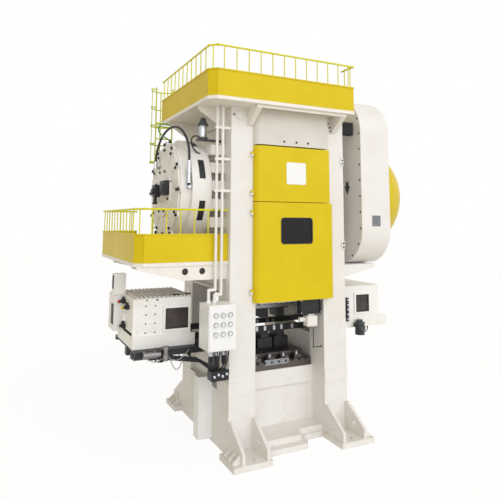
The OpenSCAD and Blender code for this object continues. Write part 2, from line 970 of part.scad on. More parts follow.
module guard_shell() {
    color(cream) {
        difference() {
            guard_body([guard_x0, guard_x1], 0);
            guard_body([guard_x0 + guard_t, guard_x1 - guard_t], guard_t);
            xbar([guard_x0 - 1, guard_x0 + guard_t + 1], 0, shaft_z, journal_r - 40);
            xbar([guard_x1 - guard_t - 1, guard_x1 + 1], 0, shaft_z, dome_r - 60);
        }
        // flanged rim at the inner face
        difference() {
            guard_body([guard_x0 - 12, guard_x0], 0);
            guard_body([guard_x0 - 13, guard_x0 + 1], 90);
        }
    }
}

module guard_dome() {
    rs = (dome_r * dome_r + dome_h * dome_h) / (2 * dome_h);
    color(yellow)
        translate([guard_x1, 0, shaft_z])
            rotate([0, 90, 0])
                rotate_extrude($fn = 144)
                    intersection() {
                        translate([0, dome_h - rs])
                            difference() {
                                circle(rs, $fn = 144);
                                circle(rs - 12, $fn = 144);
                            }
                        square([dome_r + 20, dome_h + 20]);
                    }
}

// arms that carry the guard on the right upright, and the shelf bracket below it
module guard_bracket() {
    color(cream) {
        front_and_rear() {
            box([fx, guard_x0], [-cy - 330, -cy - 210], [guard_z1 - 840, guard_z1 - 620]);
            xz_plate([-cy - 300, -cy - 240], [[fx, guard_z0 - 260], [fx, guard_z0],
                [guard_x1 - 200, guard_z0], [guard_x1 - 200, guard_z0 - 60], [fx + 160, guard_z0 - 260]]);
        }
        box([fx + 200, guard_x1 - 200], [-cy - 240, cy + 240], [guard_z0 - 60, guard_z0]);
    }
}

// platforms

// deck outline with the front left corner cut
module top_deck() {
    color(cream) {
        difference() {
            translate([0, 0, frame_top])
                linear_extrude(deck_t)
                    polygon([[-top_x0 + corner, -top_y0], [top_x1, -top_y0], [top_x1, top_y1],
                        [-top_x0, top_y1], [-top_x0, -top_y0 + corner]]);
            for (x = pipe_xs)
                zbar([frame_top - 1, top_z + 1], x, pipe_y, pipe_r + 12);
        }
        // stiffener and gussets under the front edge, gussets under the left edge
        box([-cover_x - 20, upper_door_x + 145], [-top_y0 + 70, -top_y0 + 120],
            [frame_top - 58, frame_top + 1]);
        for (x = [-cover_x - 125, upper_door_x + 140])
            yz_plate([x, x + 110], [[-fy, frame_top - 350], [-fy, frame_top],
                [-top_y0 + 60, frame_top], [-top_y0 + 60, frame_top - 60], [-fy - 40, frame_top - 350]]);
        for (y = [-fy + 260, cy + 120])
            xz_plate([y, y + 40], [[-fx, frame_top - 420], [-fx, frame_top],
                [-top_x0 + 60, frame_top], [-top_x0 + 60, frame_top - 70], [-fx - 60, frame_top - 420]]);
    }
}

// skirt, posts and handrail along a line of corners on a deck
module railing(path, z) {
    for (i = [0 : len(path) - 2]) {
        a = path[i];
        d = path[i + 1] - a;
        l = norm(d);
        n = max(1, round(l / post_step));
        translate([a[0], a[1], z])
            rotate([0, 0, atan2(d[1], d[0])]) {
                translate([0, -skirt_t / 2, 0])
                    cube([l, skirt_t, skirt_h]);
                translate([0, -post_r - 6, skirt_h - 22])
                    cube([l, 2 * post_r + 12, 30]);
                for (k = [0 : n - 1])
                    translate([l * (k + 0.5) / n, 0, skirt_h])
                        cylinder(h = rail_h - skirt_h - rail_r, r = post_r);
                translate([0, 0, rail_h - rail_r])
                    rotate([0, 90, 0])
                        cylinder(h = l, r = rail_r);
            }
        if (i > 0)
            translate([a[0], a[1], z + rail_h - 2 * rail_r - 4])
                cylinder(h = 2 * rail_r + 8, r = rail_r + 4);
    }
}

module top_rail() {
    color(yellow)
        railing([[top_x1 - 12, -top_y0 + 420], [top_x1 - 12, -top_y0 + 12],
            [-top_x0 + corner, -top_y0 + 12], [-top_x0 + 12, -top_y0 + corner],
            [-top_x0 + 12, top_y1]], top_z);
}

// side deck with its cantilever beams and two lifting holes in the front beam
module side_deck() {
    deep = side_z - beam_drop;
    color(cream) {
        translate([0, 0, side_z])
            linear_extrude(deck_t)
                polygon([[-side_x0 + corner, -side_y0], [-fx, -side_y0], [-fx, side_y1],
                    [-side_x0, side_y1], [-side_x0, -side_y0 + corner]]);
        difference() {
            for (y = [-side_y0 + 30, -cy - 70, cy + 60])
                xz_plate([y, y + 60], [[-fx, side_z], [-side_x0 + 40, side_z], [-side_x0 + 40, side_z - 50],
                    [-fx - 900, deep], [-fx, deep]]);
            for (x = [-fx - 850, -fx - 510])
                ybar([-side_y0 - 1, -side_y0 + 100], x, side_z - beam_drop * 0.4, 62);
        }
    }
}

module side_rail() {
    color(yellow)
        railing([[-fx - 4, -side_y0 + 12], [-side_x0 + corner, -side_y0 + 12],
            [-side_x0 + 12, -side_y0 + corner], [-side_x0 + 12, side_y1 - 12],
            [ladder_x - 420, side_y1 - 12]], side_top);
}

// caged ladder from the side platform to the upper one
module ladder() {
    color(yellow) {
        for (s = [-1, 1])
            translate([ladder_x + s * ladder_w / 2, ladder_y, 0])
                box([-8, 8], [-30, 30], [side_top, cage_z1 + 60]);
        for (z = [side_top + 300 : 300 : top_z - 60])
            xbar([ladder_x - ladder_w / 2, ladder_x + ladder_w / 2], ladder_y, z, 14);
        translate([ladder_x, 0, frame_top])
            box([-ladder_w / 2 - 8, ladder_w / 2 + 8], [top_y1, ladder_y - 10], [5, 55]);
    }
}

// hoops round the climber, bolted to the ladder's sides, with five flat bars
module ladder_cage() {
    half = ladder_w / 2 + 8;
    rise = (cage_z1 - cage_z0) / (hoops - 1);
    color(yellow)
        translate([ladder_x, ladder_y, cage_z0]) {
            for (i = [0 : hoops - 1])
                translate([0, 0, rise * i]) {
                    rotate_extrude(angle = 180)
                        translate([cage_r - 8, 0])
                            square([8, 30]);
                    for (s = [-1, 1])
                        box([s > 0 ? half : -cage_r, s > 0 ? cage_r : -half], [0, 8], [0, 30]);
                }
            for (a = [35 : 55 : 145])
                rotate([0, 0, a])
                    box([cage_r - 14, cage_r - 4], [-13, 13], [-15, rise * (hoops - 1) + 45]);
        }
}

// services

module control_box() {
    x0 = gauge_x1 - gauge_box_w;
    z1 = gauge_box_z + gauge_box_h;
    color(cream) {
        box([x0, gauge_x1], [gauge_y0, gauge_y0 + gauge_box_d], [gauge_box_z, z1]);
        box([x0 + 15, gauge_x1 - 15], [gauge_y0 - 14, gauge_y0], [gauge_box_z + 15, z1 - 15]);
        box([gauge_x1, -fx], [-fy, gauge_y0 + gauge_box_d], [gauge_box_z + 100, z1 - 100]);
        for (x = pipe_xs)
            zbar([z1, z1 + 40], x - pipe_jog, pipe_y, pipe_r + 10);
    }
}

// three rows of three dial gauges on the box front
module gauges() {
    xm = gauge_x1 - gauge_box_w / 2;
    zm = gauge_box_z + gauge_box_h * 0.58;
    color(steel)
        for (i = [-1 : 1], k = [-1 : 1])
            difference() {
                ybar([gauge_y0 - 46, gauge_y0 - 14], xm + i * 140, zm + k * 165, gauge_r);
                ybar([gauge_y0 - 47, gauge_y0 - 38], xm + i * 140, zm + k * 165, gauge_r - 7);
            }
}

// two service pipes from the upper platform down into the gauge box, clipped to the column
module pipes() {
    z1 = gauge_box_z + gauge_box_h + 40;
    color(cream) {
        for (i = [0, 1]) {
            x = pipe_xs[i];
            bend_z = z1 + 90 + i * 90;
            run([[x, pipe_y, top_z], [x, pipe_y, bend_z], [x - pipe_jog, pipe_y, bend_z],
                [x - pipe_jog, pipe_y, z1]], pipe_r);
        }
        for (i = [0 : 2])
            box([pipe_xs[1] - pipe_r - 15, -fx], [pipe_y - 22, pipe_y + 22],
                [clip_z + i * 620, clip_z + i * 620 + 50]);
    }
}

// grease pump on a bracket above the brake
module lube_pump() {
    x = -fx - 430;
    y = -cy - 90;
    z = frame_top - 660;
    color(dark) {
        box([x - 110, -fx], [y - 90, y + 90], [z, z + 24]);
        zbar([z + 24, z + 60], x, y, 105);
        zbar([z + 60, z + 300], x, y, 80);
        zbar([z + 300, z + 330], x, y, 112);
        translate([x, y, z + 330])
            cylinder(h = 130, r1 = 95, r2 = 45);
    }
}

// half loop of cable between two ferrules at a and b, hanging down or standing up
module cable_loop(a, b, r, up) {
    d = b - a;
    rad = norm([d[0], d[1]]) / 2;
    translate([(a[0] + b[0]) / 2, (a[1] + b[1]) / 2, a[2]])
        rotate([90, 0, atan2(d[1], d[0])])
            mirror([0, up ? 0 : 1, 0])
                rotate_extrude(angle = 180)
                    translate([rad, 0])
                        circle(r, $fn = 24);
    for (p = [a, b])
        translate([p[0], p[1], p[2] - (up ? 60 : 0)])
            cylinder(h = 60, r = r * 1.6, $fn = 24);
}

// motor cables looped under both trays, and the sensor's cable to the column
module cables() {
    arm_z = tray_z - 100;
    x = -infeed_x0;
    sensor_y = -slide_d / 2 - 85 - slide_inset * 0.29;
    sensor_x = ox - 200;
    sensor_z = door_z0 - 587;
    out_loop = outfeed_x0 + 830;
    color(dark) {
        cable_loop([x + 380, -hy - 60, arm_z], [x + 700, -hy - 60, arm_z], 11, false);
        cable_loop([x + 730, -hy - 100, arm_z], [x + 910, -hy - 100, arm_z], 9, false);
        cable_loop([out_loop, -hy - 15, tray_z - 60], [out_loop + 140, -hy - 15, tray_z - 60], 9, false);
        zbar([sensor_z - 400, sensor_z], sensor_x, sensor_y, 9);
        translate([sensor_x, sensor_y, sensor_z - 400])
            sphere(14);
        xbar([sensor_x, ox], sensor_y, sensor_z - 400, 9);
        xbar([ox - 15, ox], sensor_y, sensor_z - 400, 16);
    }
}

// flat cable duct on the left side of the bed
module side_duct() {
    color(cream)
        box([-fx - 290, -fx], [-cy + 250, -cy + 500], [60, joint_z + 180]);
}

// transfer

// front wall cut with a framed window, shared by both housings
module housing_window(x, z, y, grow) {
    box([x[0] - grow, x[1] + grow], y, [z[0] - grow, z[1] + grow]);
}

// hollow sheet housing, open below, with inner ledges that carry the carriage
module housing(x, win) {
    difference() {
        union() {
            box(x, [-hy, hy], [housing_z0, housing_z1]);
            housing_window(win, win_z, [-hy - 30, -hy], 55);
        }
        difference() {
            box([x[0] + 15, x[1] - 15], [-hy + 15, hy - 15], [housing_z0 - 1, housing_z1 - 15]);
            for (s = [-1, 1])
                box([x[0], x[1]], [s * (hy - 55) - 40, s * (hy - 55) + 40], [ledge_z - 60, ledge_z]);
        }
        housing_window(win, win_z, [-hy - 40, -hy + 20], 0);
        // way for the lifted beams under the end walls
        box([x[0] - 1, x[1] + 1], [-hy + 60, hy - 60], [housing_z0 - 1, housing_z0 + 60]);
    }
}

// tray that guards the beam ends below a housing
module tray(x) {
    box(x, [-hy - 40, hy + 40], [tray_z, tray_z + 15]);
    for (s = [-1, 1])
        box(x, [s * (hy + 30) - 10, s * (hy + 30) + 10], [tray_z, housing_z0]);
    for (s = [-1, 1])
        box(x, [s > 0 ? hy - 20 : -hy - 40, s > 0 ? hy + 40 : -hy + 20], [housing_z0 - 12, housing_z0]);
}

module infeed_housing() {
    color(cream) {
        housing([-infeed_x0, -infeed_x1], infeed_win);
        for (x = [-infeed_x0 + 90, -infeed_x0 + 330], i = [0 : 4])
            ybar([-hy - 16, -hy], x, housing_z0 + 90 + i * 125, 18);
    }
}

module infeed_tray() {
    color(cream)
        {
            tray([-infeed_x0, -infeed_x1 + 80]);
            box([-infeed_x0, -infeed_x0 + 15], [-hy - 40, hy + 40], [tray_z, housing_z0]);
        }
}

module outfeed_housing() {
    color(cream) {
        housing([outfeed_x0, outfeed_x1], outfeed_win);
        tray([outfeed_x0, outfeed_x1 + 190]);
        // flanged neck to the upright
        difference() {
            box([fx, outfeed_x0], [-cy - 120, cy + 120], [tray_z, housing_z1]);
            box([fx - 1, outfeed_x0 + 1], [-hy + 15, hy - 15], [tray_z - 1, housing_z1 - 15]);
        }
    }
}

module feeder_glass() {
    color(glass) {
        housing_window(infeed_win, win_z, [-hy - 12, -hy - 4], 0);
        housing_window(outfeed_win, win_z, [-hy - 12, -hy - 4], 0);
    }
}

// slatted dark cover on the infeed housing
module infeed_cover() {
    color(dark) {
        box([-infeed_x0 + 30, -infeed_x1 + 40], [-hy - 20, hy + 20], [housing_z1, housing_z1 + 12]);
        for (i = [0 : 12])
            translate([-infeed_x0 + 50 + i * 85, 0, housing_z1])
                box([0, 45], [-hy - 10, hy + 10], [12, 34]);
    }
}

// electrical cabinet on the infeed end, with a smaller box on top
module infeed_cabinet() {
    x1 = -infeed_x0;
    x0 = x1 - cabinet_w;
    y0 = hy - 450;
    y1 = hy + 80;
    z0 = housing_z0 - 10;
    color(cream) {
        difference() {
            box([x0, x1], [y0, y1], [z0, housing_z1]);
            for (i = [0 : 5])
                box([x0 - 1, x0 + 12], [y0 + 90, y0 + 250], [z0 + 130 + i * 55, z0 + 160 + i * 55]);
        }
        difference() {
            box([x0 - 30, x1 + 15], [y0 - 30, y0 + 150], [housing_z1, housing_z1 + 410]);
            box([x0 - 31, x0 - 10], [y0 + 20, y0 + 100], [housing_z1 + 130, housing_z1 + 360]);
        }
        // connection box on the housing's end
        box([x1 - 60, x1], [-30, 110], [housing_z0 + 210, housing_z0 + 360]);
    }
}

// air valves between cabinet and housing
module feed_valves() {
    x = -infeed_x0;
    color(dark)
        for (v = [[65, 530], [-240, 460], [30, 70]]) {
            y = v[0];
            z = housing_z0 + v[1];
            box([x - 70, x], [y - 65, y + 65], [z, z + 80]);
            zbar([z + 79, z + 125], x - 35, y + 20, 24);
            xbar([x - 115, x - 69], y - 25, z + 40, 26);
            ybar([y - 110, y - 64], x - 35, z + 35, 20);
        }
}

// servo motors under and in front of the infeed tray
module feed_motors() {
    x = -infeed_x0;
    z = tray_z - 40;
    color(dark) {
        xbar([x + 60, x + 330], -hy + 150, z - 95, 95);
        box([x + 330, x + 520], [-hy + 40, -hy + 260], [z - 200, z]);
        xbar([x + 20, x + 60], -hy + 150, z - 95, 70);
        zbar([z - 240, z - 40], x + 640, -hy + 110, 90);
        zbar([z - 40, z], x + 640, -hy + 110, 110);
        box([x - 20, x + 260], [-hy + 320, -hy + 470], [z - 130, z]);
    }
}

// welded arms from the left upright that carry the infeed
module infeed_arm() {
    z1 = tray_z;
    color(dark) {
        front_and_rear()
            difference() {
                xz_plate([-cy - 90, -cy - 30], [[-fx, z1 - 620], [-fx, z1], [-infeed_x0, z1],
                    [-infeed_x0, z1 - 90], [-fx - 420, z1 - 300]]);
                xz_plate([-cy - 91, -cy - 29], [[-fx - 110, z1 - 410], [-fx - 110, z1 - 110],
                    [-fx - 1050, z1 - 110], [-fx - 470, z1 - 205]]);
            }
        box([-infeed_x0, -fx - 60], [-cy - 40, cy + 40], [z1 - 40, z1]);
    }
}

module outfeed_motor() {
    x = outfeed_x0 + 640;
    y = -hy - 160;
    color(dark) {
        box([x - 80, x + 80], [y + 60, -hy - 40], [tray_z + 10, tray_z + 90]);
        zbar([tray_z - 140, tray_z + 100], x, y, 100);
        zbar([tray_z + 99, tray_z + 125], x, y, 115);
        zbar([tray_z + 124, tray_z + 180], x, y, 70);
        box([x - 60, x + 60], [y - 125, y - 70], [tray_z - 40, tray_z + 60]);
    }
}

// carriage halves that run along the ledges of the two housings
module feed_carriage() {
    color(steel)
        for (x = carriages)
            difference() {
                box([x, x + 300], [-hy + 40, hy - 40], [ledge_z, ledge_z + carriage_z]);
                for (y = [-300, 300])
                    zbar([ledge_z - 1, ledge_z + carriage_z + 1], x + 150, y, 45 + pin_play);
                box([x + 60, x + 240], [-180, 180], [ledge_z - 1, ledge_z + carriage_z + 1]);
            }
}

// crossheads on guide posts, lifted and lowered in the carriages
module lift_yoke() {
    color(steel)
        for (x = carriages) {
            box([x + 30, x + 270], [-hy + 110, hy - 110], [yoke_z, yoke_z + 90]);
            for (y = [-300, 300])
                zbar([yoke_z + 90, ledge_z + carriage_z + 60], x + 150, y, 45);
        }
}

// one gripper beam with its hangers, on the front side
module transfer_beam() {
    y0 = -tbeam_y - tbeam_t / 2;
    y1 = -tbeam_y + tbeam_t / 2;
    box([-tbeam_x0, tbeam_x1], [y0, y1], [tbeam_z, tbeam_z + tbeam_h]);
    for (x = carriages)
        box([x + 60, x + 240], [y0 + 10, y1 - 10], [tbeam_z + tbeam_h, yoke_z]);
}

// gripper fingers in pairs at each die station, on the front side
module finger_row() {
    y1 = -tbeam_y + tbeam_t / 2;
    reach = tbeam_y - tbeam_t / 2 - clamp_travel - die_w / 2 - 40;
    for (i = [-1 : 1], s = [-1, 1]) {
        x = i * die_pitch + s * 70;
        difference() {
            box([x - 30, x + 30], [y1, y1 + reach], [tbeam_z + 25, tbeam_z + 85]);
            ybar([y1 + reach - 12, y1 + reach + 1], x, tbeam_z + 55, 14);
        }
    }
}

module front_beam() {
    color(dark)
        transfer_beam();
}

module rear_beam() {
    color(dark)
        mirror([0, 1, 0])
            transfer_beam();
}

module front_fingers() {
    color(steel)
        finger_row();
}

module rear_fingers() {
    color(steel)
        mirror([0, 1, 0])
            finger_row();
}

bed();
left_upright();
right_upright();
crown();
crown_cover();
rear_cover();
hinge_lugs();
door_upper();
door_lower();
door_glass();
eccentric_shaft();
bearing_bushes();
conrod();
wrist_pin();
flywheel();
slide();
gibs();
upper_holder();
upper_dies();
lower_dies();
bolster();
gib_block();
sensor_box();
brake_drum();
brake_band();
brake_cover();
cover_bolts();
rotary_union();
brake_hose();
guard_shell();
guard_dome();
guard_bracket();
top_deck();
top_rail();
side_deck();
side_rail();
ladder();
ladder_cage();
control_box();
gauges();
pipes();
lube_pump();
cables();
side_duct();
infeed_housing();
infeed_tray();
outfeed_housing();
feeder_glass();
infeed_cover();
infeed_cabinet();
feed_valves();
feed_motors();
infeed_arm();
outfeed_motor();
feed_carriage();
lift_yoke();
front_beam();
rear_beam();
front_fingers();
rear_fingers();
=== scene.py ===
import math

import bmesh
import bpy
import numpy as np
from mathutils import Matrix, Vector


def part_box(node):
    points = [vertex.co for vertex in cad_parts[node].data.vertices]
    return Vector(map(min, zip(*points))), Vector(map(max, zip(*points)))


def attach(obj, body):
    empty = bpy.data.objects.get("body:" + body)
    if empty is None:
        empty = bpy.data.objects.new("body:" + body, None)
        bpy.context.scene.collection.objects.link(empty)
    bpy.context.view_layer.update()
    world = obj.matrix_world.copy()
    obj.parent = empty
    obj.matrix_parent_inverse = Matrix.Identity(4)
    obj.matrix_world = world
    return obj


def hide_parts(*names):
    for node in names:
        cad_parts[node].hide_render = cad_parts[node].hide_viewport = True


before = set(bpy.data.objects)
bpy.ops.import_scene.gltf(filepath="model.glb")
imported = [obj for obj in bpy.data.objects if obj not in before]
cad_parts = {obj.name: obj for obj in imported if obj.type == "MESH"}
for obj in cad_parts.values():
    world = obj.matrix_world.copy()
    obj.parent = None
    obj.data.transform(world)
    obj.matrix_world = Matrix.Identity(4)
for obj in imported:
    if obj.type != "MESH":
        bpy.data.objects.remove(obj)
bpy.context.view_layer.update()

# The viewpoint: an eye four metres up at the front left, with a shift lens that keeps the columns
# nearly upright. Its angles, focal length and axis row are for a picture 500 wide and high.
eye = Vector((-5.414, -10.415, 4.277))
yaw, pitch, roll = np.radians((26.199, 7.511, 0.341))
focal, axis_row, image = 512.125, 153.603, 500.0
level = Vector((np.cos(yaw), -np.sin(yaw), 0.0))
ahead = Vector((np.sin(yaw) * np.cos(pitch), np.cos(yaw) * np.cos(pitch), np.sin(pitch)))
above = level.cross(ahead)
across = np.cos(roll) * level + np.sin(roll) * above
upward = np.cos(roll) * above - np.sin(roll) * level
lens = bpy.data.cameras.new("viewpoint")
lens.sensor_width = 36.0
lens.lens = focal * lens.sensor_width / image
lens.shift_y = (axis_row - image / 2) / image
lens.clip_end = 300.0
camera = bpy.data.objects.new("viewpoint", lens)
facing = Matrix((across, upward, -ahead)).transposed().to_4x4()
camera.matrix_world = Matrix.Translation(eye) @ facing
bpy.context.scene.collection.objects.link(camera)
bpy.context.scene.camera = camera
bpy.context.scene.view_settings.view_transform = "Standard"


# The studio: a pale seamless floor that keeps a soft shadow, a white surround, and two broad lamps,
# one high at the front right and a slightly stronger one low at the front left.
def linear(code):
    """An sRGB hex colour as linear red, green, blue and alpha."""
    part = np.array([int(code[i:i + 2], 16) for i in (1, 3, 5)]) / 255
    part = np.where(part <= 0.04045, part / 12.92, ((part + 0.055) / 1.055) ** 2.4)
    return (*part, 1.0)


def add(tree, kind, sockets={}, **settings):
    """Adds one node: settings go to its properties, and sockets are joined to an output or set to a
    value."""
    made = tree.nodes.new(kind)
    for name, value in settings.items():
        setattr(made, name, value)
    for name, value in sockets.items():
        if isinstance(value, bpy.types.NodeSocket):
            tree.links.new(value, made.inputs[name])
        else:
            made.inputs[name].default_value = value
    return made


def seen_rays(tree):
    """One for rays from the eye, a mirror or a pane, and zero for those that light a surface."""
    path = add(tree, "ShaderNodeLightPath").outputs
    mirrored = add(tree, "ShaderNodeMath", {0: path["Is Camera Ray"], 1: path["Is Glossy Ray"]},
                   operation="MAXIMUM").outputs[0]
    return add(tree, "ShaderNodeMath", {0: mirrored, 1: path["Is Transmission Ray"]},
               operation="MAXIMUM").outputs[0]


world = bpy.data.worlds.new("surround")
world.use_nodes = True
bpy.context.scene.world = world
sky = world.node_tree
sky.nodes.clear()
surround_light, surround_seen = 0.56, 1.0
seen = seen_rays(sky)
strength = add(sky, "ShaderNodeMapRange",
               {"Value": seen, "To Min": surround_light, "To Max": surround_seen})
tint = add(sky, "ShaderNodeMixRGB",
           {"Fac": seen, "Color1": linear("#FFF5DA"), "Color2": linear("#FFFFFF")})
paper = add(sky, "ShaderNodeBackground",
            {"Color": tint.outputs[0], "Strength": strength.outputs[0]})
add(sky, "ShaderNodeOutputWorld", {"Surface": paper.outputs[0]})

floor_half = 60.0
corners = [(x * floor_half, y * floor_half, 0) for x, y in ((-1, -1), (1, -1), (1, 1), (-1, 1))]
ground = bpy.data.meshes.new("floor")
ground.from_pydata(corners, [], [(0, 1, 2, 3)])
floor = bpy.data.objects.new("floor", ground)
bpy.context.scene.collection.objects.link(floor)
# matt paper that glows where it is looked at: white, and darker in the shadow
pale = bpy.data.materials.new("studio_floor")
pale.use_nodes = True
tree = pale.node_tree
tree.nodes.clear()
floor_glow, share_light, share_seen = 1.079, 0.2, 0.85
matt = add(tree, "ShaderNodeBsdfDiffuse", {"Color": linear("#D9D4CA")})
glow = add(tree, "ShaderNodeEmission", {"Color": linear("#FFFFFF"), "Strength": floor_glow})
share = add(tree, "ShaderNodeMapRange",
            {"Value": seen_rays(tree), "To Min": share_light, "To Max": share_seen})
both = add(tree, "ShaderNodeMixShader",
           {0: share.outputs[0], 1: matt.outputs[0], 2: glow.outputs[0]})
add(tree, "ShaderNodeOutputMaterial", {"Surface": both.outputs[0]})
ground.materials.append(pale)

lamp_tint = (0.92, 0.975, 1.13)
for name, towards, power, spread in (("key", (0.35, -0.85, 0.55), 1.0, 60.0),
                                     ("side", (-0.35, -0.92, 0.12), 1.25, 70.0)):
    lamp = bpy.data.lights.new(name, "SUN")
    lamp.energy = power
    lamp.angle = np.radians(spread)
    lamp.color = lamp_tint
    lit = bpy.data.objects.new(name, lamp)
    lit.rotation_mode = "QUATERNION"
    lit.rotation_quaternion = Vector(towards).to_track_quat("Z", "Y")
    bpy.context.scene.collection.objects.link(lit)


# Frame: bed, two uprights and crown, welded from thick plate, stress relieved, machined where they
# meet and sprayed with two-pack cream paint. The slide behind the doors has the same paint.
def begin(name):
    """A new material with its shader joined to the output, and the object's own coordinates in
    metres."""
    made = bpy.data.materials.new(name)
    made.use_nodes = True
    tree = made.node_tree
    tree.nodes.clear()
    shader = add(tree, "ShaderNodeBsdfPrincipled")
    add(tree, "ShaderNodeOutputMaterial", {"Surface": shader.outputs[0]})
    return made, tree, shader, add(tree, "ShaderNodeTexCoord").outputs["Object"]


def painted(name, fresh, drift, grime, rough, edge=0.006, peel=0.35, shine=0.32, tubes=()):
    """Sprayed paint: the fresh colour drifts over half a metre, faint patches of grime grow towards
    the floor, the gloss has orange peel, and the thickness of the coat rounds the edges. Tubes are
    levels (middle, half height, colour) where posts and rails get another, brighter colour: painted
    light that makes up for the shade on their thin round sides."""
    made, tree, shader, place = begin(name)
    drift_mm, patch_mm = 550, 220
    peel_mm = 14  # really about 4 mm, drawn coarser so that it shows
    splash_z, low_grime, high_grime = 1.2, 0.26, 0.05
    cloud = add(tree, "ShaderNodeTexNoise",
                {"Vector": place, "Scale": 1000 / drift_mm, "Detail": 4.0, "Roughness": 0.6})
    amount = add(tree, "ShaderNodeMapRange",
                 {"Value": cloud.outputs["Fac"], "From Min": 0.35, "From Max": 0.7})
    tone = add(tree, "ShaderNodeMixRGB",
               {"Fac": amount.outputs[0], "Color1": linear(fresh), "Color2": linear(drift)})
    runs = add(tree, "ShaderNodeTexNoise",
               {"Vector": place, "Scale": 1000 / patch_mm, "Detail": 6.0, "Roughness": 0.65})
    height = add(tree, "ShaderNodeSeparateXYZ", {0: place})
    for middle, half, other in tubes:
        level = add(tree, "ShaderNodeMath", {0: height.outputs["Z"], 1: middle, 2: half},
                    operation="COMPARE")
        tone = add(tree, "ShaderNodeMixRGB", {"Fac": level.outputs[0], "Color1": tone.outputs[0],
                                              "Color2": linear(other)})
    low = add(tree, "ShaderNodeMapRange",
              {"Value": height.outputs["Z"], "From Min": 0.0, "From Max": splash_z,
               "To Min": low_grime, "To Max": high_grime})
    patch = add(tree, "ShaderNodeMapRange",
                {"Value": runs.outputs["Fac"], "From Min": 0.5, "From Max": 0.78})
    dirt = add(tree, "ShaderNodeMath", {0: patch.outputs[0], 1: low.outputs[0]},
               operation="MULTIPLY")
    worn = add(tree, "ShaderNodeMixRGB",
               {"Fac": dirt.outputs[0], "Color1": tone.outputs[0], "Color2": linear(grime)})
    gloss = add(tree, "ShaderNodeMapRange", {"Value": cloud.outputs["Fac"],
                                             "To Min": rough - 0.07, "To Max": rough + 0.09})
    peeled = add(tree, "ShaderNodeTexNoise",
                 {"Vector": place, "Scale": 1000 / peel_mm, "Detail": 1.0})
    rounded_edge = add(tree, "ShaderNodeBevel", {"Radius": edge}, samples=4)
    relief = add(tree, "ShaderNodeBump",
                 {"Height": peeled.outputs["Fac"], "Strength": peel, "Distance": 0.0006,
                  "Normal": rounded_edge.outputs[0]})
    for socket, source in (("Base Color", worn), ("Roughness", gloss), ("Normal", relief)):
        tree.links.new(source.outputs[0], shader.inputs[socket])
    shader.inputs["Specular IOR Level"].default_value = shine
    return made


def finish_nodes(finish, *names):
    """Gives solids of the frame a finish."""
    for name in names:
        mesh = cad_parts[name].data
        mesh.materials.clear()
        mesh.materials.append(finish)


# two-pack paint on heavy plate: warm off-white, satin
frame_paint = painted("two_pack_cream_on_plate", "#ECE9E4", "#E7E3DC", "#B7AC98", 0.42)
finish_nodes(frame_paint, "bed", "left_upright", "right_upright", "crown", "slide")


# Fixings on the columns: two flat tabs at the edge of the right column and hexagon bolts with
# washers. The tabs are cut from plate and painted in place, and the bolts are forged and blackened.
def around(axis):
    """An axis made one long, with two directions square to it and to each other."""
    axis = np.asarray(axis, float) / np.linalg.norm(axis)
    side = np.cross(axis, (0.0, 0.0, 1.0) if abs(axis[2]) < 0.9 else (1.0, 0.0, 0.0))
    side /= np.linalg.norm(side)
    return axis, side, np.cross(axis, side)


def turned(profile, centres, axis, steps=24, hexed=False):
    """A profile of (radius, height) pairs carried round an axis at each centre: centre + height along
    the axis + radius in the direction of the angle. A hexagon's radius grows by 1/cos from each
    flat's middle."""
    axis, side, third = around(axis)
    radius, height = np.asarray(profile, float).T
    angle = np.arange(steps) * 2 * np.pi / steps
    reach = 1 / np.cos(angle % (np.pi / 3) - np.pi / 6) if hexed else np.ones(steps)
    circle = reach[:, None] * (np.cos(angle)[:, None] * side + np.sin(angle)[:, None] * third)
    shape = radius[:, None, None] * circle + height[:, None, None] * axis
    return np.asarray(centres, float).reshape(-1, 1, 1, 3) + shape


def skin(name, points, body, finish, ring=False):
    """Skins grids of points (copies, rows, columns, 3): four neighbours make a face, columns close on
    themselves and rows do in a ring. Poles are merged and the faces turned outwards."""
    points = np.asarray(points, float)
    number = np.arange(points[..., 0].size).reshape(points.shape[:3])
    here, after = (number, np.roll(number, -1, 1)) if ring else (number[:, :-1], number[:, 1:])
    faces = np.stack([here, np.roll(here, -1, 2), np.roll(after, -1, 2), after], -1).reshape(-1, 4)
    mesh = bpy.data.meshes.new(name)
    mesh.from_pydata(points.reshape(-1, 3), [], faces.tolist())
    work = bmesh.new()
    work.from_mesh(mesh)
    bmesh.ops.remove_doubles(work, verts=work.verts, dist=1e-6)
    bmesh.ops.recalc_face_normals(work, faces=work.faces)
    work.to_mesh(mesh)
    work.free()
    mesh.shade_smooth()
    mesh.set_sharp_from_angle(angle=np.radians(32))
    mesh.materials.append(finish)
    piece = bpy.data.objects.new(name, mesh)
    bpy.context.scene.collection.objects.link(piece)
    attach(piece, body)
    return piece


def rounded(width, height, corner, steps=48):
    """A rectangle with round corners: the angle's own circle, moved out to the corner it points to."""
    angle = (np.arange(steps) + 0.5) * 2 * np.pi / steps
    x = np.sign(np.cos(angle)) * (width / 2 - corner) + corner * np.cos(angle)
    y = np.sign(np.sin(angle)) * (height / 2 - corner) + corner * np.sin(angle)
    return np.stack([x, y], -1)


def layered(centres, across, upward, width, height, corner, layers, steps=48):
    """Rounded rectangles in layers: (inset, lift) draws the outline in by inset and lifts it along the
    normal, and an inset of None is the middle point, so that a stack of layers is a plate or a rim."""
    across, upward = np.asarray(across, float), np.asarray(upward, float)
    rows = []
    for inset, lift in layers:
        if inset is None:
            flat = np.zeros((steps, 2))
        else:
            flat = rounded(width - 2 * inset, height - 2 * inset, max(corner - inset, 0.0005), steps)
        rows.append(flat[:, :1] * across + flat[:, 1:] * upward + lift * np.cross(across, upward))
    return np.asarray(centres, float).reshape(-1, 1, 1, 3) + np.array(rows)


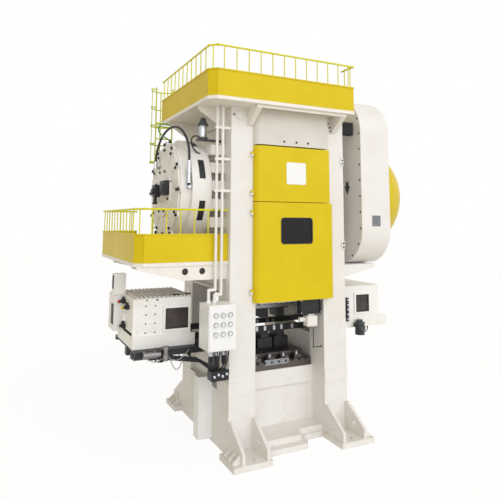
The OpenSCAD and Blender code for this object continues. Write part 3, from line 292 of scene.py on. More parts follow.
def slab(thick, edge, back=0.0):
    """The layers of a plate: its back, its wall, and a front whose edge is cut off at 45 degrees."""
    rim = [(0, thick - edge), (edge, thick)] if edge else [(0, thick)]
    return [(None, back), (0, back), *rim, (None, thick)]


def metal(name, bright, dull, rough, grain_mm, lines=(1.0, 1.0, 1.0), relief=0.0004):
    """Bare metal: tool or grinding marks drawn out along lines, with two tones and a roughness that
    follow them. Marks are drawn at tens of millimetres, since real ones are too fine to show."""
    made, tree, shader, place = begin(name)
    drawn = add(tree, "ShaderNodeMapping", {"Vector": place, "Scale": lines})
    marks = add(tree, "ShaderNodeTexNoise",
                {"Vector": drawn.outputs[0], "Scale": 1000 / grain_mm, "Detail": 5.0})
    tone = add(tree, "ShaderNodeMixRGB",
               {"Fac": marks.outputs["Fac"], "Color1": linear(dull), "Color2": linear(bright)})
    gloss = add(tree, "ShaderNodeMapRange", {"Value": marks.outputs["Fac"],
                                             "To Min": rough + 0.12, "To Max": rough - 0.08})
    bump = add(tree, "ShaderNodeBump",
               {"Height": marks.outputs["Fac"], "Strength": 0.4, "Distance": relief})
    for socket, source in (("Base Color", tone), ("Roughness", gloss), ("Normal", bump)):
        tree.links.new(source.outputs[0], shader.inputs[socket])
    shader.inputs["Metallic"].default_value = 1.0
    return made


sideways, front, rear, up = (1, 0, 0), (0, -1, 0), (0, 1, 0), (0, 0, 1)
# black-oxide steel of the fasteners: near black with a dull sheen
bolt_steel = metal("black_oxide_steel", "#4A4A4C", "#242426", 0.42, 20)
# a washer and a hexagon head, in shares of the bolt's size
head_profile = np.array([(0, 0), (0.72, 0), (0.72, 0.1), (0.5, 0.1), (0.5, 0.58), (0.44, 0.66),
                         (0, 0.66)])
front_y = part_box("right_upright")[0].y
tab_w, tab_h, tab_corner, tab_t, tab_edge = 0.085, 0.17, 0.008, 0.013, 0.003
tab_mid = [(1.305, front_y, z) for z in (5.567, 3.777)]
skin("guard_tabs", layered(tab_mid, sideways, up, tab_w, tab_h, tab_corner, slab(tab_t, tab_edge), 24),
     "frame", frame_paint)
column_bolt = 0.026
tab_bolts = [(1.312, front_y - tab_t, z) for z in (5.604, 5.53, 3.816, 3.738)]
column_bolts = [(x, front_y, z) for x, z in ((0.936, 6.386), (0.995, 6.307), (1.014, 6.224),
                                             (-0.843, 6.132), (-0.843, 5.898))]
skin("column_bolts", turned(head_profile * column_bolt, tab_bolts + column_bolts, front, 12, True),
     "frame", bolt_steel)


# Joint seams: the uprights stand on the bed in a machined joint, whose outer edge is sealed with a
# bead of elastic sealant along each side.
def swept(path, radius, steps=10):
    """A round section carried along a path: each point plus the radius round the path's own
    direction, drawn to the middle at both ends."""
    path = np.asarray(path, float)
    ahead = np.gradient(path, axis=0)
    ahead /= np.linalg.norm(ahead, axis=1, keepdims=True)
    spread = np.ptp(path, axis=0)
    side = np.cross(ahead, np.eye(3)[int(np.argmin(spread))])
    side /= np.linalg.norm(side, axis=1, keepdims=True)
    third = np.cross(ahead, side)
    angle = np.arange(steps) * 2 * np.pi / steps
    reach = np.broadcast_to(np.asarray(radius, float), len(path))[:, None, None]
    circle = np.cos(angle)[:, None] * side[:, None] + np.sin(angle)[:, None] * third[:, None]
    tube = path[:, None] + reach * circle
    ends = [np.repeat(path[i][None, None], steps, 1) for i in (0, -1)]
    return np.concatenate([ends[0], tube, ends[1]])


def rubbery(name, dark, worn, rough, bead_mm, along=(0.0, 0.0, 1.0)):
    """Rubber with a bloom of dust, and moulded ribs that repeat every bead along a direction."""
    made, tree, shader, place = begin(name)
    bloom_mm = 30
    bloom = add(tree, "ShaderNodeTexNoise",
                {"Vector": place, "Scale": 1000 / bloom_mm, "Detail": 3.0})
    tone = add(tree, "ShaderNodeMixRGB",
               {"Fac": bloom.outputs["Fac"], "Color1": linear(dark), "Color2": linear(worn)})
    run = add(tree, "ShaderNodeVectorMath", {0: place, 1: along}, operation="DOT_PRODUCT")
    turn = add(tree, "ShaderNodeMath", {0: run.outputs["Value"], 1: 2000 * np.pi / bead_mm},
               operation="MULTIPLY")
    ribs = add(tree, "ShaderNodeMath", {0: turn.outputs[0]}, operation="SINE")
    bump = add(tree, "ShaderNodeBump",
               {"Height": ribs.outputs[0], "Strength": 0.5, "Distance": 0.002})
    tree.links.new(tone.outputs[0], shader.inputs["Base Color"])
    tree.links.new(bump.outputs[0], shader.inputs["Normal"])
    shader.inputs["Roughness"].default_value = rough
    return made


# joint sealant: matt grey brown, a thin dark line in the paint
sealant = rubbery("dark_joint_sealant", "#5E584E", "#7A7366", 0.6, 40)
joint_x, joint_half, joint_r = 1.34, 1.28, 0.007
joint_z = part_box("left_upright")[0].z
joint_run = np.linspace(-joint_half, joint_half, 24)
still = np.zeros(24)
seams = [swept(np.stack([still + side * joint_x, joint_run, still + joint_z], -1), joint_r, 8)
         for side in (-1, 1)]
skin("joint_seams", np.array(seams), "frame", sealant)

# Covers and doors: folded steel sheet. The crown cover and the rear cover are cream, and the two
# front doors are yellow, hung on lift-off hinges at their left edges.
# two-pack paint on sheet: a shade lighter and glossier than on the plate
cover_paint = painted("two_pack_cream_on_sheet", "#EEEBE6", "#E9E5DE", "#BDB29F", 0.38)
# gloss paint on the doors: strong warm yellow with a soft highlight
door_paint = painted("gloss_yellow_on_sheet", "#DEC51C", "#D8BE18", "#A58F1E", 0.34, shine=0.16)
# the crown cover's paint is greyer and darker than the other covers: painted shade, where the deck
# above casts its shadow on it
crown_paint = painted("cream_with_deck_shade_on_sheet", "#DEDAD0", "#D6D1C6", "#ADA390", 0.45)
finish_nodes(crown_paint, "crown_cover")
finish_nodes(cover_paint, "rear_cover", "hinge_lugs")
finish_nodes(door_paint, "door_upper", "door_lower")
door_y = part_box("door_upper")[0].y
cover_bolt, cover_bolt_z = 0.03, 5.893
cover_bolts = [(x, door_y, cover_bolt_z) for x in (-0.22, 0.071, 0.35)]
skin("cover_bolts_front", turned(head_profile * cover_bolt, cover_bolts, front, 12, True),
     "frame", bolt_steel)

# Door plate: a plain enamelled steel plate with round corners, held to the upper door by four
# zinc-plated screws with domed heads.
# enamel: clean white with a crisp shine
plate_enamel = painted("white_enamel", "#F6F6F4", "#EFEFEC", "#C9C9C4", 0.25)
plate_w, plate_h, plate_corner, plate_t, plate_edge = 0.461, 0.45, 0.035, 0.007, 0.002
plate_mid = (0.0625, door_y, 5.248)
skin("door_plate", layered(plate_mid, sideways, up, plate_w, plate_h, plate_corner,
                           slab(plate_t, plate_edge)), "upper_door", plate_enamel)
# zinc plate on steel: pale and bright, finely streaked
bright_steel = metal("bright_zinc_plate", "#D5D6D8", "#A9ABAE", 0.25, 20)
# a domed head, in shares of its radius
screw_profile = np.array([(0, 0), (1, 0), (1, 0.25), (0.8, 0.55), (0.35, 0.68), (0, 0.7)])
plate_screw, screw_in = 0.008, 0.03
plate_screws = [(plate_mid[0] + sx * (plate_w / 2 - screw_in), door_y - plate_t,
                 plate_mid[2] + sz * (plate_h / 2 - screw_in)) for sx in (-1, 1) for sz in (-1, 1)]
skin("door_plate_screws", turned(screw_profile * plate_screw, plate_screws, front, 16),
     "upper_door", bright_steel)


# Door pane: tinted safety glass behind a cut-out of the lower door, held by a moulded rubber profile
# that is pressed over the edge of the cut-out.
def glazed(name, deep, pale, shine):
    """Tinted glass before a dark space: a drifting tint, and dust that dulls the gloss in patches."""
    made, tree, shader, place = begin(name)
    haze_mm = 180
    haze = add(tree, "ShaderNodeTexNoise",
               {"Vector": place, "Scale": 1000 / haze_mm, "Detail": 3.0})
    dust = add(tree, "ShaderNodeMapRange",
               {"Value": haze.outputs["Fac"], "To Min": 0.06, "To Max": 0.2})
    tint = add(tree, "ShaderNodeMixRGB",
               {"Fac": haze.outputs["Fac"], "Color1": linear(deep), "Color2": linear(pale)})
    tree.links.new(dust.outputs[0], shader.inputs["Roughness"])
    tree.links.new(tint.outputs[0], shader.inputs["Base Color"])
    shader.inputs["IOR"].default_value = 1.5
    shader.inputs["Specular IOR Level"].default_value = shine
    return made


# safety glass: nearly black, smooth, with a faint dusty gloss
finish_nodes(glazed("tinted_safety_glass", "#161618", "#222120", 0.25), "door_glass")
# edge rubber: matt black
gasket_rubber = rubbery("black_edge_rubber", "#161616", "#2A2A29", 0.55, 20)
pane_lo, pane_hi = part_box("door_glass")
pane_mid = ((pane_lo.x + pane_hi.x) / 2, door_y, (pane_lo.z + pane_hi.z) / 2)
glass_lap, lip, pane_corner = 0.06, 0.012, 0.07
pane_w, pane_h = (high - low - glass_lap + 2 * lip
                  for low, high in ((pane_lo.x, pane_hi.x), (pane_lo.z, pane_hi.z)))
pane_seal = [(0, -0.002), (0, 0.005), (0.005, 0.009), (0.016, 0.009), (0.022, 0.003), (0.024, -0.011)]
skin("pane_gasket", layered(pane_mid, sideways, up, pane_w, pane_h, pane_corner, pane_seal),
     "lower_door", gasket_rubber, ring=True)

# Drive and slide: forged and ground shaft, rod and pin in bronze bushes, a cast flywheel behind the
# guard, and bronze gib liners scraped to the slide.
# ground steel: bright grey, with marks round the shaft
ground_steel = metal("ground_steel", "#B9BBBE", "#8B8D90", 0.28, 30, (1.0, 8.0, 8.0))
# bearing bronze: brownish gold with a satin sheen
bearing_bronze = metal("bearing_bronze", "#C79E58", "#9A7436", 0.32, 30)
# cast iron: dark and dull, with a sandy skin
cast_iron = metal("cast_iron_skin", "#56575A", "#37383A", 0.6, 12, relief=0.001)
finish_nodes(ground_steel, "eccentric_shaft", "conrod", "wrist_pin")
finish_nodes(bearing_bronze, "bearing_bushes", "gibs")
finish_nodes(cast_iron, "flywheel")

# Die set: hot-work steel dies blackened by scale and lubricant, keyed into a milled holder and a
# bolster, with rows of socket screws, a strip across each front and nuts on the bolster's clamps.
# milled steel: mid grey with fine lines along the cut
milled_steel = metal("milled_tool_steel", "#A6A7A8", "#77787A", 0.38, 20, (1.0, 6.0, 6.0))
# oiled steel: brownish grey, darker where lubricant has burnt on
oiled_steel = metal("oiled_tool_steel", "#7A726C", "#45403D", 0.4, 50, (1.0, 4.0, 4.0))
# scaled steel: almost black and rough
die_steel = metal("scaled_die_steel", "#5C5A58", "#2B2A2A", 0.5, 35, relief=0.002)
finish_nodes(oiled_steel, "bolster")
finish_nodes(milled_steel, "upper_holder")
finish_nodes(die_steel, "upper_dies", "lower_dies")
# a socket head with its key hole, in shares of its radius
socket_profile = np.array([(0, 0), (1, 0), (1, 0.9), (0.92, 1), (0.5, 1), (0.5, 0.45), (0, 0.45)])
hold_lo, hold_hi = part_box("upper_holder")
hold_z, hold_in, hold_screw = (hold_lo.z + hold_hi.z) / 2, 0.16, 0.026
bol_lo, bol_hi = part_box("bolster")
bol_z, bol_in, bol_screw = bol_lo.z + 0.14, 0.12, 0.024
hold_x = np.linspace(hold_lo.x + hold_in, hold_hi.x - hold_in, 8)
bol_x = np.linspace(bol_lo.x + bol_in, bol_hi.x - bol_in, 9)
for name, body, row_x, y, z, size, way in (
        ("holder_screws", "ram", hold_x, hold_lo.y, hold_z, hold_screw, front),
        ("holder_screws_rear", "ram", hold_x, hold_hi.y, hold_z, hold_screw, rear),
        ("bolster_screws_front", "frame", bol_x, bol_lo.y, bol_z, bol_screw, front),
        ("bolster_screws_rear", "frame", bol_x, bol_hi.y, bol_z, bol_screw, rear)):
    skin(name, turned(socket_profile * size, [(x, y, z) for x in row_x], way, 20),
         body, bolt_steel)
strip_x, strip_w, strip_h, strip_corner = -0.05, 0.56, 0.11, 0.006
for name, body, y, z in (("holder_strip", "ram", hold_lo.y, hold_z),
                         ("bolster_strip", "frame", bol_lo.y, bol_z)):
    skin(name, layered((strip_x, y, z), sideways, up, strip_w, strip_h, strip_corner,
                       slab(0.012, 0.002), 24), body, milled_steel)
nut_in = 0.09
nut_z = bol_lo.z + 0.82 * (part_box("lower_dies")[0].z - bol_lo.z)
clamp_nuts = [(x, side * (bol_hi.y - nut_in), nut_z)
              for x in (-0.48, -0.16, 0.16, 0.48) for side in (-1, 1)]
nut_profile = [(0, 0), (0.045, 0), (0.045, 0.004), (0.03, 0.005), (0.03, 0.03), (0.027, 0.034),
               (0.016, 0.034), (0.016, 0.055), (0.013, 0.058), (0, 0.058)]
skin("clamp_nuts", turned(nut_profile, clamp_nuts, up, 12, True), "frame", bright_steel)

# Gib cover and sensor box under the lower door: a black cast cover on four socket screws, and a
# small cream sheet box with a screwed lid that hangs from it.
# black enamel: deep black, satin, greyed by dust
black_paint = painted("black_enamel", "#2A2B2D", "#232426", "#5B554C", 0.42)
finish_nodes(black_paint, "gib_block")
finish_nodes(cover_paint, "sensor_box")
gib_lo, gib_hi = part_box("gib_block")
gib_screw, gib_in = 0.012, 0.03
gib_screws = [(gib_lo.x + along, gib_lo.y, z) for along in (0.015, 0.48)
              for z in (gib_lo.z + gib_in, gib_hi.z - gib_in)]
skin("gib_cover_screws", turned(socket_profile * gib_screw, gib_screws, front, 16),
     "frame", bright_steel)
sen_lo, sen_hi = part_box("sensor_box")
lid_mid = (sen_hi.x - 0.1225, sen_lo.y, sen_lo.z + 0.135)
lid_w, lid_h, lid_corner = 0.215, 0.175, 0.014
skin("sensor_lid", layered(lid_mid, sideways, up, lid_w, lid_h, lid_corner, slab(0.009, 0.003)),
     "frame", cover_paint)

# Shaft brake at the left: a cream drum in a slotted guard band of rolled sheet, a lugged cover plate
# on black screws, and a rotary union with a valve block that feeds air through the shaft.
finish_nodes(cover_paint, "brake_drum", "brake_band", "brake_cover")
finish_nodes(bolt_steel, "cover_bolts")
finish_nodes(black_paint, "rotary_union")
# a thin black ring just inside the band darkens what shows through its slots: painted shade of the
# hollow behind them
shaft_z, slot_shade_x, slot_shade_w, slot_shade_out, slot_shade_in = 4.88, -2.03, 0.36, 1.058, 1.052
slot_shade_profile = [(slot_shade_out, 0), (slot_shade_out, slot_shade_w), (slot_shade_in, slot_shade_w), (slot_shade_in, 0)]
skin("slot_shade_ring", turned(slot_shade_profile, [(slot_shade_x, 0, shaft_z)], sideways, 96),
     "frame", black_paint, ring=True)
hose_from, hose_to = np.array([-2.39, 0.33]), np.array([-2.115, -1.046])
from_z, to_z, foot_z = 5.38, 4.92, 5.49
fitting = [(0, 0), (0.048, 0), (0.048, 0.05), (0.039, 0.056), (0.039, 0.19), (0.05, 0.196),
           (0.05, 0.25), (0.039, 0.256), (0.039, 0.42), (0.036, 0.44), (0, 0.44)]
skin("hose_fitting_front", turned(fitting, [(*hose_to, 5.0)], up, 24),
     "frame", bright_steel)
ferrule = [(0, 0), (0.047, 0), (0.047, 0.05), (0.037, 0.055), (0.037, 0.15), (0.034, 0.155),
           (0, 0.155)]
skin("hose_fitting_rear", turned(ferrule, [(*hose_from, from_z)], up, 24),
     "frame", bright_steel)
union_mid, union_w, union_h, union_corner = (-2.28, -0.34, 4.935), 0.3, 0.29, 0.02
union_steps = [(None, 0), (0, 0), (0, 0.15), (0.012, 0.165), (0.06, 0.165), (0.066, 0.185),
               (None, 0.185)]
skin("union_valve", layered(union_mid, front, up, union_w, union_h, union_corner, union_steps),
     "frame", black_paint)
hose_socket = [(0, 0), (0.036, 0), (0.036, 0.05), (0.03, 0.055), (0.03, 0.12), (0, 0.125)]
socket_y = -0.99
for name, at, way in (("hose_socket_rear", (-2.28, hose_from[1], 5.4), (-1, 0, 0)),
                      ("hose_socket_front", (hose_to[0], socket_y, to_z), front)):
    skin(name, turned(hose_socket, [at], way, 12, True), "frame", bright_steel)


# Brake hose: black rubber air hose that rises from the cover, arches over the drum and comes down to
# a fitting on the band, with a thin green branch looped from its crest. Cut to length and crimped.
def bent(points, count=40):
    """A Bezier curve: the control points weighted by the Bernstein polynomials of a run from 0 to
    1."""
    points = np.asarray(points, float)
    last = len(points) - 1
    order, run = np.arange(last + 1), np.linspace(0, 1, count)[:, None]
    weight = np.array([math.comb(last, k) for k in order])
    return weight * run ** order * (1 - run) ** (last - order) @ points


# air hose: black rubber with a grey bloom
hose_rubber = rubbery("black_air_hose", "#141414", "#2C2C2C", 0.5, 22)
arch_mid, arch_half = (hose_from + hose_to) / 2, (hose_to - hose_from) / 2
sweep = np.linspace(np.pi, 0, 60)[:, None]
arch = np.hstack([arch_mid + np.cos(sweep) * arch_half,
                  foot_z + np.linalg.norm(arch_half) * np.sin(sweep)])
rise = np.linspace((*hose_from, from_z), (*hose_from, foot_z), 5)[:-1]
elbow = bent([(*hose_to, foot_z), (*hose_to, 5.2), (*hose_to, 4.93), (*hose_to, to_z),
              (hose_to[0], -1.03, to_z), (hose_to[0], socket_y, to_z)])[1:]
hose_r, branch_r = 0.024, 0.015
air_hose = skin("air_hose", swept(np.vstack([rise, arch, elbow]), hose_r, 16)[None],
                "frame", hose_rubber)
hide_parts("brake_hose")
# branch hose: mid green, slightly shiny
green_rubber = rubbery("green_branch_hose", "#4E7F3A", "#79A552", 0.45, 12)
branch_y = arch_mid[1]
branch_foot = (-2.3, branch_y, 5.865)
branch = bent([(arch_mid[0], branch_y, 6.185), (-2.42, branch_y, 6.33), (-2.72, branch_y, 6.28),
               (-2.6, branch_y, 5.86), (-2.3, branch_y, 6.02), branch_foot])
skin("branch_hose", swept(branch, branch_r, 12)[None], "frame", green_rubber)
branch_end = [(0, -0.012), (0.03, -0.012), (0.03, 0.02), (0.022, 0.024), (0.022, 0.055), (0, 0.055)]
skin("branch_fitting", turned(branch_end, [branch_foot], up, 12, True),
     "frame", bolt_steel)

# Flywheel guard at the right: a cream sheet drum with a rim of black bolts, a spun yellow dome over
# the wheel, and rubber bellows over the two arms that carry it.
finish_nodes(cover_paint, "guard_shell", "guard_bracket")
finish_nodes(door_paint, "guard_dome")
rim_lo, rim_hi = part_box("guard_shell")
rim_w, rim_h, rim_inset, rim_corner = rim_hi.y - rim_lo.y, rim_hi.z - rim_lo.z, 0.05, 0.8
outline = rounded(rim_w - 2 * rim_inset, rim_h - 2 * rim_inset, rim_corner - rim_inset, 400)
closed = np.vstack([outline, outline[:1]])
walk = np.concatenate([[0], np.cumsum(np.linalg.norm(np.diff(closed, axis=0), axis=1))])
rim_bolt, rim_count = 0.027, 32
spots = np.linspace(0, walk[-1], rim_count, endpoint=False)
rim_y = np.interp(spots, walk, closed[:, 0])
rim_z = np.interp(spots, walk, closed[:, 1]) + (rim_lo.z + rim_hi.z) / 2
rim_bolts = np.stack([np.full(rim_count, rim_lo.x), rim_y, rim_z], -1)
skin("guard_bolts", turned(head_profile * rim_bolt, rim_bolts, (-1, 0, 0), 12, True),
     "frame", bolt_steel)
fold_depth, fold_pitch, bellows_long = 0.014, 0.019, 0.44
folds = [(fold_depth * (k % 2), 0.02 + fold_pitch * k) for k in range(23)]
bellows = [(None, 0.0), *folds, (None, bellows_long)]
arm_w, arm_h, arm_corner = 0.19, 0.29, 0.02
arm_mid = [(1.34, y, rim_hi.z - 0.73) for y in (-1.02, 1.02)]
skin("arm_bellows", layered(arm_mid, rear, up, arm_w, arm_h, arm_corner, bellows),
     "frame", gasket_rubber)


# Turning arrow on the guard's inner face: a plain arrow with a notched tail, cut from thin sheet,
# painted grey and glued on.
def flat_cut(outline, thick):
    """A flat cut-out: its outline at the back, at the front and at its own middle, in (sideways, up,
    lift)."""
    outline = np.asarray(outline, float)
    middle = np.repeat(outline.mean(0)[None], len(outline), 0)
    lifts = np.array([0.0, 0.0, thick, thick])
    flat = np.stack([middle, outline, outline, middle])
    return np.concatenate([flat, np.broadcast_to(lifts[:, None, None], (4, len(outline), 1))], -1)


# stencil paint: dull dark grey
sign_grey = painted("dark_grey_stencil", "#55534F", "#4A4845", "#7A756B", 0.5)
arrow = [(0, -0.166), (0.095, 0.03), (0.05, 0.01), (0.05, 0.166), (0, 0.11), (-0.05, 0.166),
         (-0.05, 0.01), (-0.095, 0.03)]
arrow_mid, arrow_t = np.array([1.80, -0.835, 5.05]), 0.004
arrow_at = arrow_mid + flat_cut(arrow, arrow_t) @ np.array([rear, up, (-1, 0, 0)], float)
skin("turning_arrow", arrow_at[None], "frame", sign_grey)

# Vent in the guard's front: crimped zinc-plated wires, woven and clamped by a pressed cream frame,
# over an opening whose shade is painted as a thin black sheet behind them.
vent_mid, vent_w, vent_h, vent_lap = np.array([2.178, rim_lo.y, 4.298]), 0.235, 0.236, 0.03
vent_rim = [(0, 0), (0, 0.008), (0.003, 0.01), (0.016, 0.01), (0.016, 0)]
skin("vent_frame", layered(vent_mid, sideways, up, vent_w + vent_lap, vent_h + vent_lap, 0.012,
                           vent_rim), "frame", cover_paint, ring=True)
# black sheet behind the wires: painted shade of the opening
skin("vent_painted_shade", layered(vent_mid, sideways, up, vent_w, vent_h, 0.004, slab(0.001, 0)),
     "frame", black_paint)
wire_r, wire_lift, wire_wave = 0.002, -0.0055, 0.0022
run, still = np.linspace(-0.5, 0.5, 25), np.zeros(25)
wires = []
for k, offset in enumerate(np.linspace(-0.5, 0.5, 13)[1:-1]):
    wave = wire_wave * np.sin(run * 12 * np.pi) * (-1) ** k
    level_wire = np.stack([run * vent_w, wire_lift + wave, still + offset * vent_h], -1)
    upright_wire = np.stack([still + offset * vent_w, wire_lift - wave, run * vent_h], -1)
    wires += [swept(vent_mid + level_wire, wire_r, 6), swept(vent_mid + upright_wire, wire_r, 6)]
skin("vent_wires", np.array(wires), "frame", bright_steel)

# Platforms and ladder: cream chequer plate on welded brackets, and yellow kick plates, posts, rails
# and ladder of welded tube and flat bar. Rubber plugs close two holes in the side platform's beam.
# chequer plate: cream with raised tears on the tread and scuffs down to a duller tone
chequer, tree, shader, place = begin("cream_chequer_plate")
facing = add(tree, "ShaderNodeNewGeometry").outputs["True Normal"]
tread = add(tree, "ShaderNodeSeparateXYZ", {0: facing})
tear_mm = 60  # really about 30 mm apart, drawn coarser so that they show
scuff_mm = 250
bars = []
for sign in (1.0, -1.0):
    slanted = add(tree, "ShaderNodeVectorMath",
                  {0: place, 1: (1000 * np.pi / tear_mm, sign * 1000 * np.pi / tear_mm, 0.0)},
                  operation="DOT_PRODUCT")
    bars.append(add(tree, "ShaderNodeMath", {0: slanted.outputs["Value"]}, operation="SINE"))
lattice = add(tree, "ShaderNodeMath", {0: bars[0].outputs[0], 1: bars[1].outputs[0]},
              operation="MULTIPLY")
studs = add(tree, "ShaderNodeMapRange",
            {"Value": lattice.outputs[0], "From Min": 0.25, "From Max": 0.6})
top = add(tree, "ShaderNodeMath", {0: tread.outputs["Z"], 1: 0.7}, operation="GREATER_THAN")
raised = add(tree, "ShaderNodeMath", {0: studs.outputs[0], 1: top.outputs[0]}, operation="MULTIPLY")
scuff = add(tree, "ShaderNodeTexNoise", {"Vector": place, "Scale": 1000 / scuff_mm, "Detail": 5.0})
rub = add(tree, "ShaderNodeMapRange", {"Value": scuff.outputs["Fac"], "From Min": 0.45,
                                       "From Max": 0.8, "To Max": 0.35})
tone = add(tree, "ShaderNodeMixRGB", {"Fac": rub.outputs[0], "Color1": linear("#EFEAE1"),
                                      "Color2": linear("#D8D0C2")})
bump = add(tree, "ShaderNodeBump", {"Height": raised.outputs[0], "Strength": 0.8, "Distance": 0.003})
tree.links.new(tone.outputs[0], shader.inputs["Base Color"])
tree.links.new(bump.outputs[0], shader.inputs["Normal"])
shader.inputs["Roughness"].default_value = 0.45
finish_nodes(chequer, "top_deck", "side_deck")
# rail paint: the doors' yellow on the kick plates, and a brighter, greener yellow on the tubes
# above them: painted light that makes up for the shade on their thin round sides
tube_half, tube_lightened_yellow = 0.245, "#DED71C"
tube_levels = [(middle, tube_half, tube_lightened_yellow) for middle in (4.28, 7.376)]
rail_paint = painted("yellow_rail_paint", "#DEC51C", "#D8BE18", "#9C8820", 0.38, edge=0.004,
                     shine=0.16, tubes=tube_levels)
finish_nodes(rail_paint, "top_rail", "side_rail")
# ladder paint: sharp greenish yellow
ladder_paint = painted("sulphur_yellow_paint", "#CFD522", "#C8CC20", "#8F8A22", 0.38, edge=0.004,
                       shine=0.16)
finish_nodes(ladder_paint, "ladder", "ladder_cage")
plug = [(0, 0), (0.0612, 0), (0.0612, 0.012), (0.055, 0.016), (0, 0.017)]
plug_at = [(x, -1.125, 3.336) for x in (-2.19, -1.85)]
skin("beam_plugs", turned(plug, plug_at, front, 40), "frame", gasket_rubber)

# Gauge box, pipes and duct: a folded cream box with nine pressure gauges in stainless cases, each
# over a blank tag, two service pipes above it and a cable duct beside the bed.
# the side duct takes the whiter enamel rather than the frame's cream: painted light that brightens it
# in the column's shade
finish_nodes(plate_enamel, "control_box", "side_duct")
finish_nodes(cover_paint, "pipes")
finish_nodes(hose_rubber, "cables")
# stainless steel: bright, with a fine polish
gauge_steel = metal("polished_stainless", "#D2D3D5", "#AEB0B3", 0.18, 20)
finish_nodes(gauge_steel, "gauges")
ga_lo, ga_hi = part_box("gauges")
gauge_r, dial_r, dial_y, pitch_x, pitch_z = 0.042, 0.0345, ga_lo.y + 0.007, 0.14, 0.165
dial_mid = [(x, dial_y, z) for x in np.linspace(ga_lo.x + gauge_r, ga_hi.x - gauge_r, 3)
            for z in np.linspace(ga_lo.z + gauge_r, ga_hi.z - gauge_r, 3)]
# dial card: white, with an open ring of black ticks on each dial
dial_card, tree, shader, place = begin("printed_dial_card")
tick_count, tick_half, tick_r, tick_long, ring_low = 20, 0.14, 0.027, 0.004, -0.016
spot = add(tree, "ShaderNodeSeparateXYZ", {0: place})
own = []
for socket, start, pitch in (("X", dial_mid[4][0], pitch_x), ("Z", dial_mid[4][2], pitch_z)):
    moved = add(tree, "ShaderNodeMath", {0: spot.outputs[socket], 1: start}, operation="SUBTRACT")
    own.append(add(tree, "ShaderNodeMath", {0: moved.outputs[0], 1: pitch / 2, 2: -pitch / 2},
                   operation="WRAP").outputs[0])
angle = add(tree, "ShaderNodeMath", {0: own[0], 1: own[1]}, operation="ARCTAN2")
count = add(tree, "ShaderNodeMath", {0: angle.outputs[0], 1: tick_count / (2 * np.pi)},
            operation="MULTIPLY")
tooth = add(tree, "ShaderNodeMath", {0: count.outputs[0], 1: 0.5, 2: -0.5}, operation="WRAP")
near = add(tree, "ShaderNodeMath", {0: tooth.outputs[0], 1: 0.0, 2: tick_half}, operation="COMPARE")
flat = add(tree, "ShaderNodeCombineXYZ", {0: own[0], 1: own[1]})
reach = add(tree, "ShaderNodeVectorMath", {0: flat.outputs[0]}, operation="LENGTH")
band = add(tree, "ShaderNodeMath", {0: reach.outputs["Value"], 1: tick_r, 2: tick_long},
           operation="COMPARE")
upper = add(tree, "ShaderNodeMath", {0: own[1], 1: ring_low}, operation="GREATER_THAN")
tick = add(tree, "ShaderNodeMath", {0: near.outputs[0], 1: band.outputs[0]}, operation="MULTIPLY")
tick = add(tree, "ShaderNodeMath", {0: tick.outputs[0], 1: upper.outputs[0]}, operation="MULTIPLY")
card = add(tree, "ShaderNodeMixRGB", {"Fac": tick.outputs[0], "Color1": linear("#F4F3EE"),
                                      "Color2": linear("#1E1E1E")})
tree.links.new(card.outputs[0], shader.inputs["Base Color"])
shader.inputs["Roughness"].default_value = 0.3
dial = [(0, -0.001), (dial_r, -0.001), (dial_r, 0.001), (0, 0.001)]
skin("gauge_dials", turned(dial, dial_mid, front, 32), "frame", dial_card)
needle_run, needle_r = np.linspace(-0.008, 0.026, 6)[:, None], np.linspace(0.0022, 0.0008, 6)
needles = []
for k, (x, y, z) in enumerate(dial_mid):
    lean = np.radians(-60 + 29 * k % 130)
    along = np.array([np.sin(lean), 0, np.cos(lean)])
    needles.append(swept(np.array([x, y - 0.003, z]) + needle_run * along, needle_r, 6))
skin("gauge_needles", np.array(needles), "frame", black_paint)
bezel = [(0.0365, -0.004), (0.0415, -0.004), (0.042, 0.006), (0.0405, 0.009), (0.038, 0.008),
         (0.036, 0.003)]
skin("gauge_bezels", turned(bezel, dial_mid, front, 32), "frame", black_paint,
     ring=True)
tag_w, tag_h, tag_corner, tag_drop = 0.07, 0.026, 0.003, 0.072
tag_mid = [(x, ga_hi.y, z - tag_drop) for x, y, z in dial_mid]
skin("gauge_tags", layered(tag_mid, sideways, up, tag_w, tag_h, tag_corner, slab(0.002, 0), 16),
     "frame", plate_enamel)

# Lubricator: a dark cast pump with a bright drawn reservoir on top, and a short rubber hose looped
# from the reservoir to the pump's outlet.
# motor enamel: dark grey, satin
motor_paint = painted("motor_grey_enamel", "#4C4F52", "#414447", "#6E675C", 0.4)
finish_nodes(motor_paint, "lube_pump")
pump_at, drip_r = (-1.77, -0.84, 5.88), 0.014
reservoir = [(0, 0.062), (0.083, 0.062), (0.084, 0.066), (0.082, 0.07), (0.082, 0.29),
             (0.084, 0.294), (0.083, 0.298), (0, 0.298)]
skin("pump_reservoir", turned(reservoir, [pump_at], up, 40), "frame", bright_steel)
drip = bent([(-1.85, -0.84, 5.96), (-2.1, -0.88, 6.02), (-2.06, -0.87, 5.66), (-1.8, -0.8, 5.615)])
skin("pump_hose", swept(drip, drip_r, 12)[None], "frame", hose_rubber)

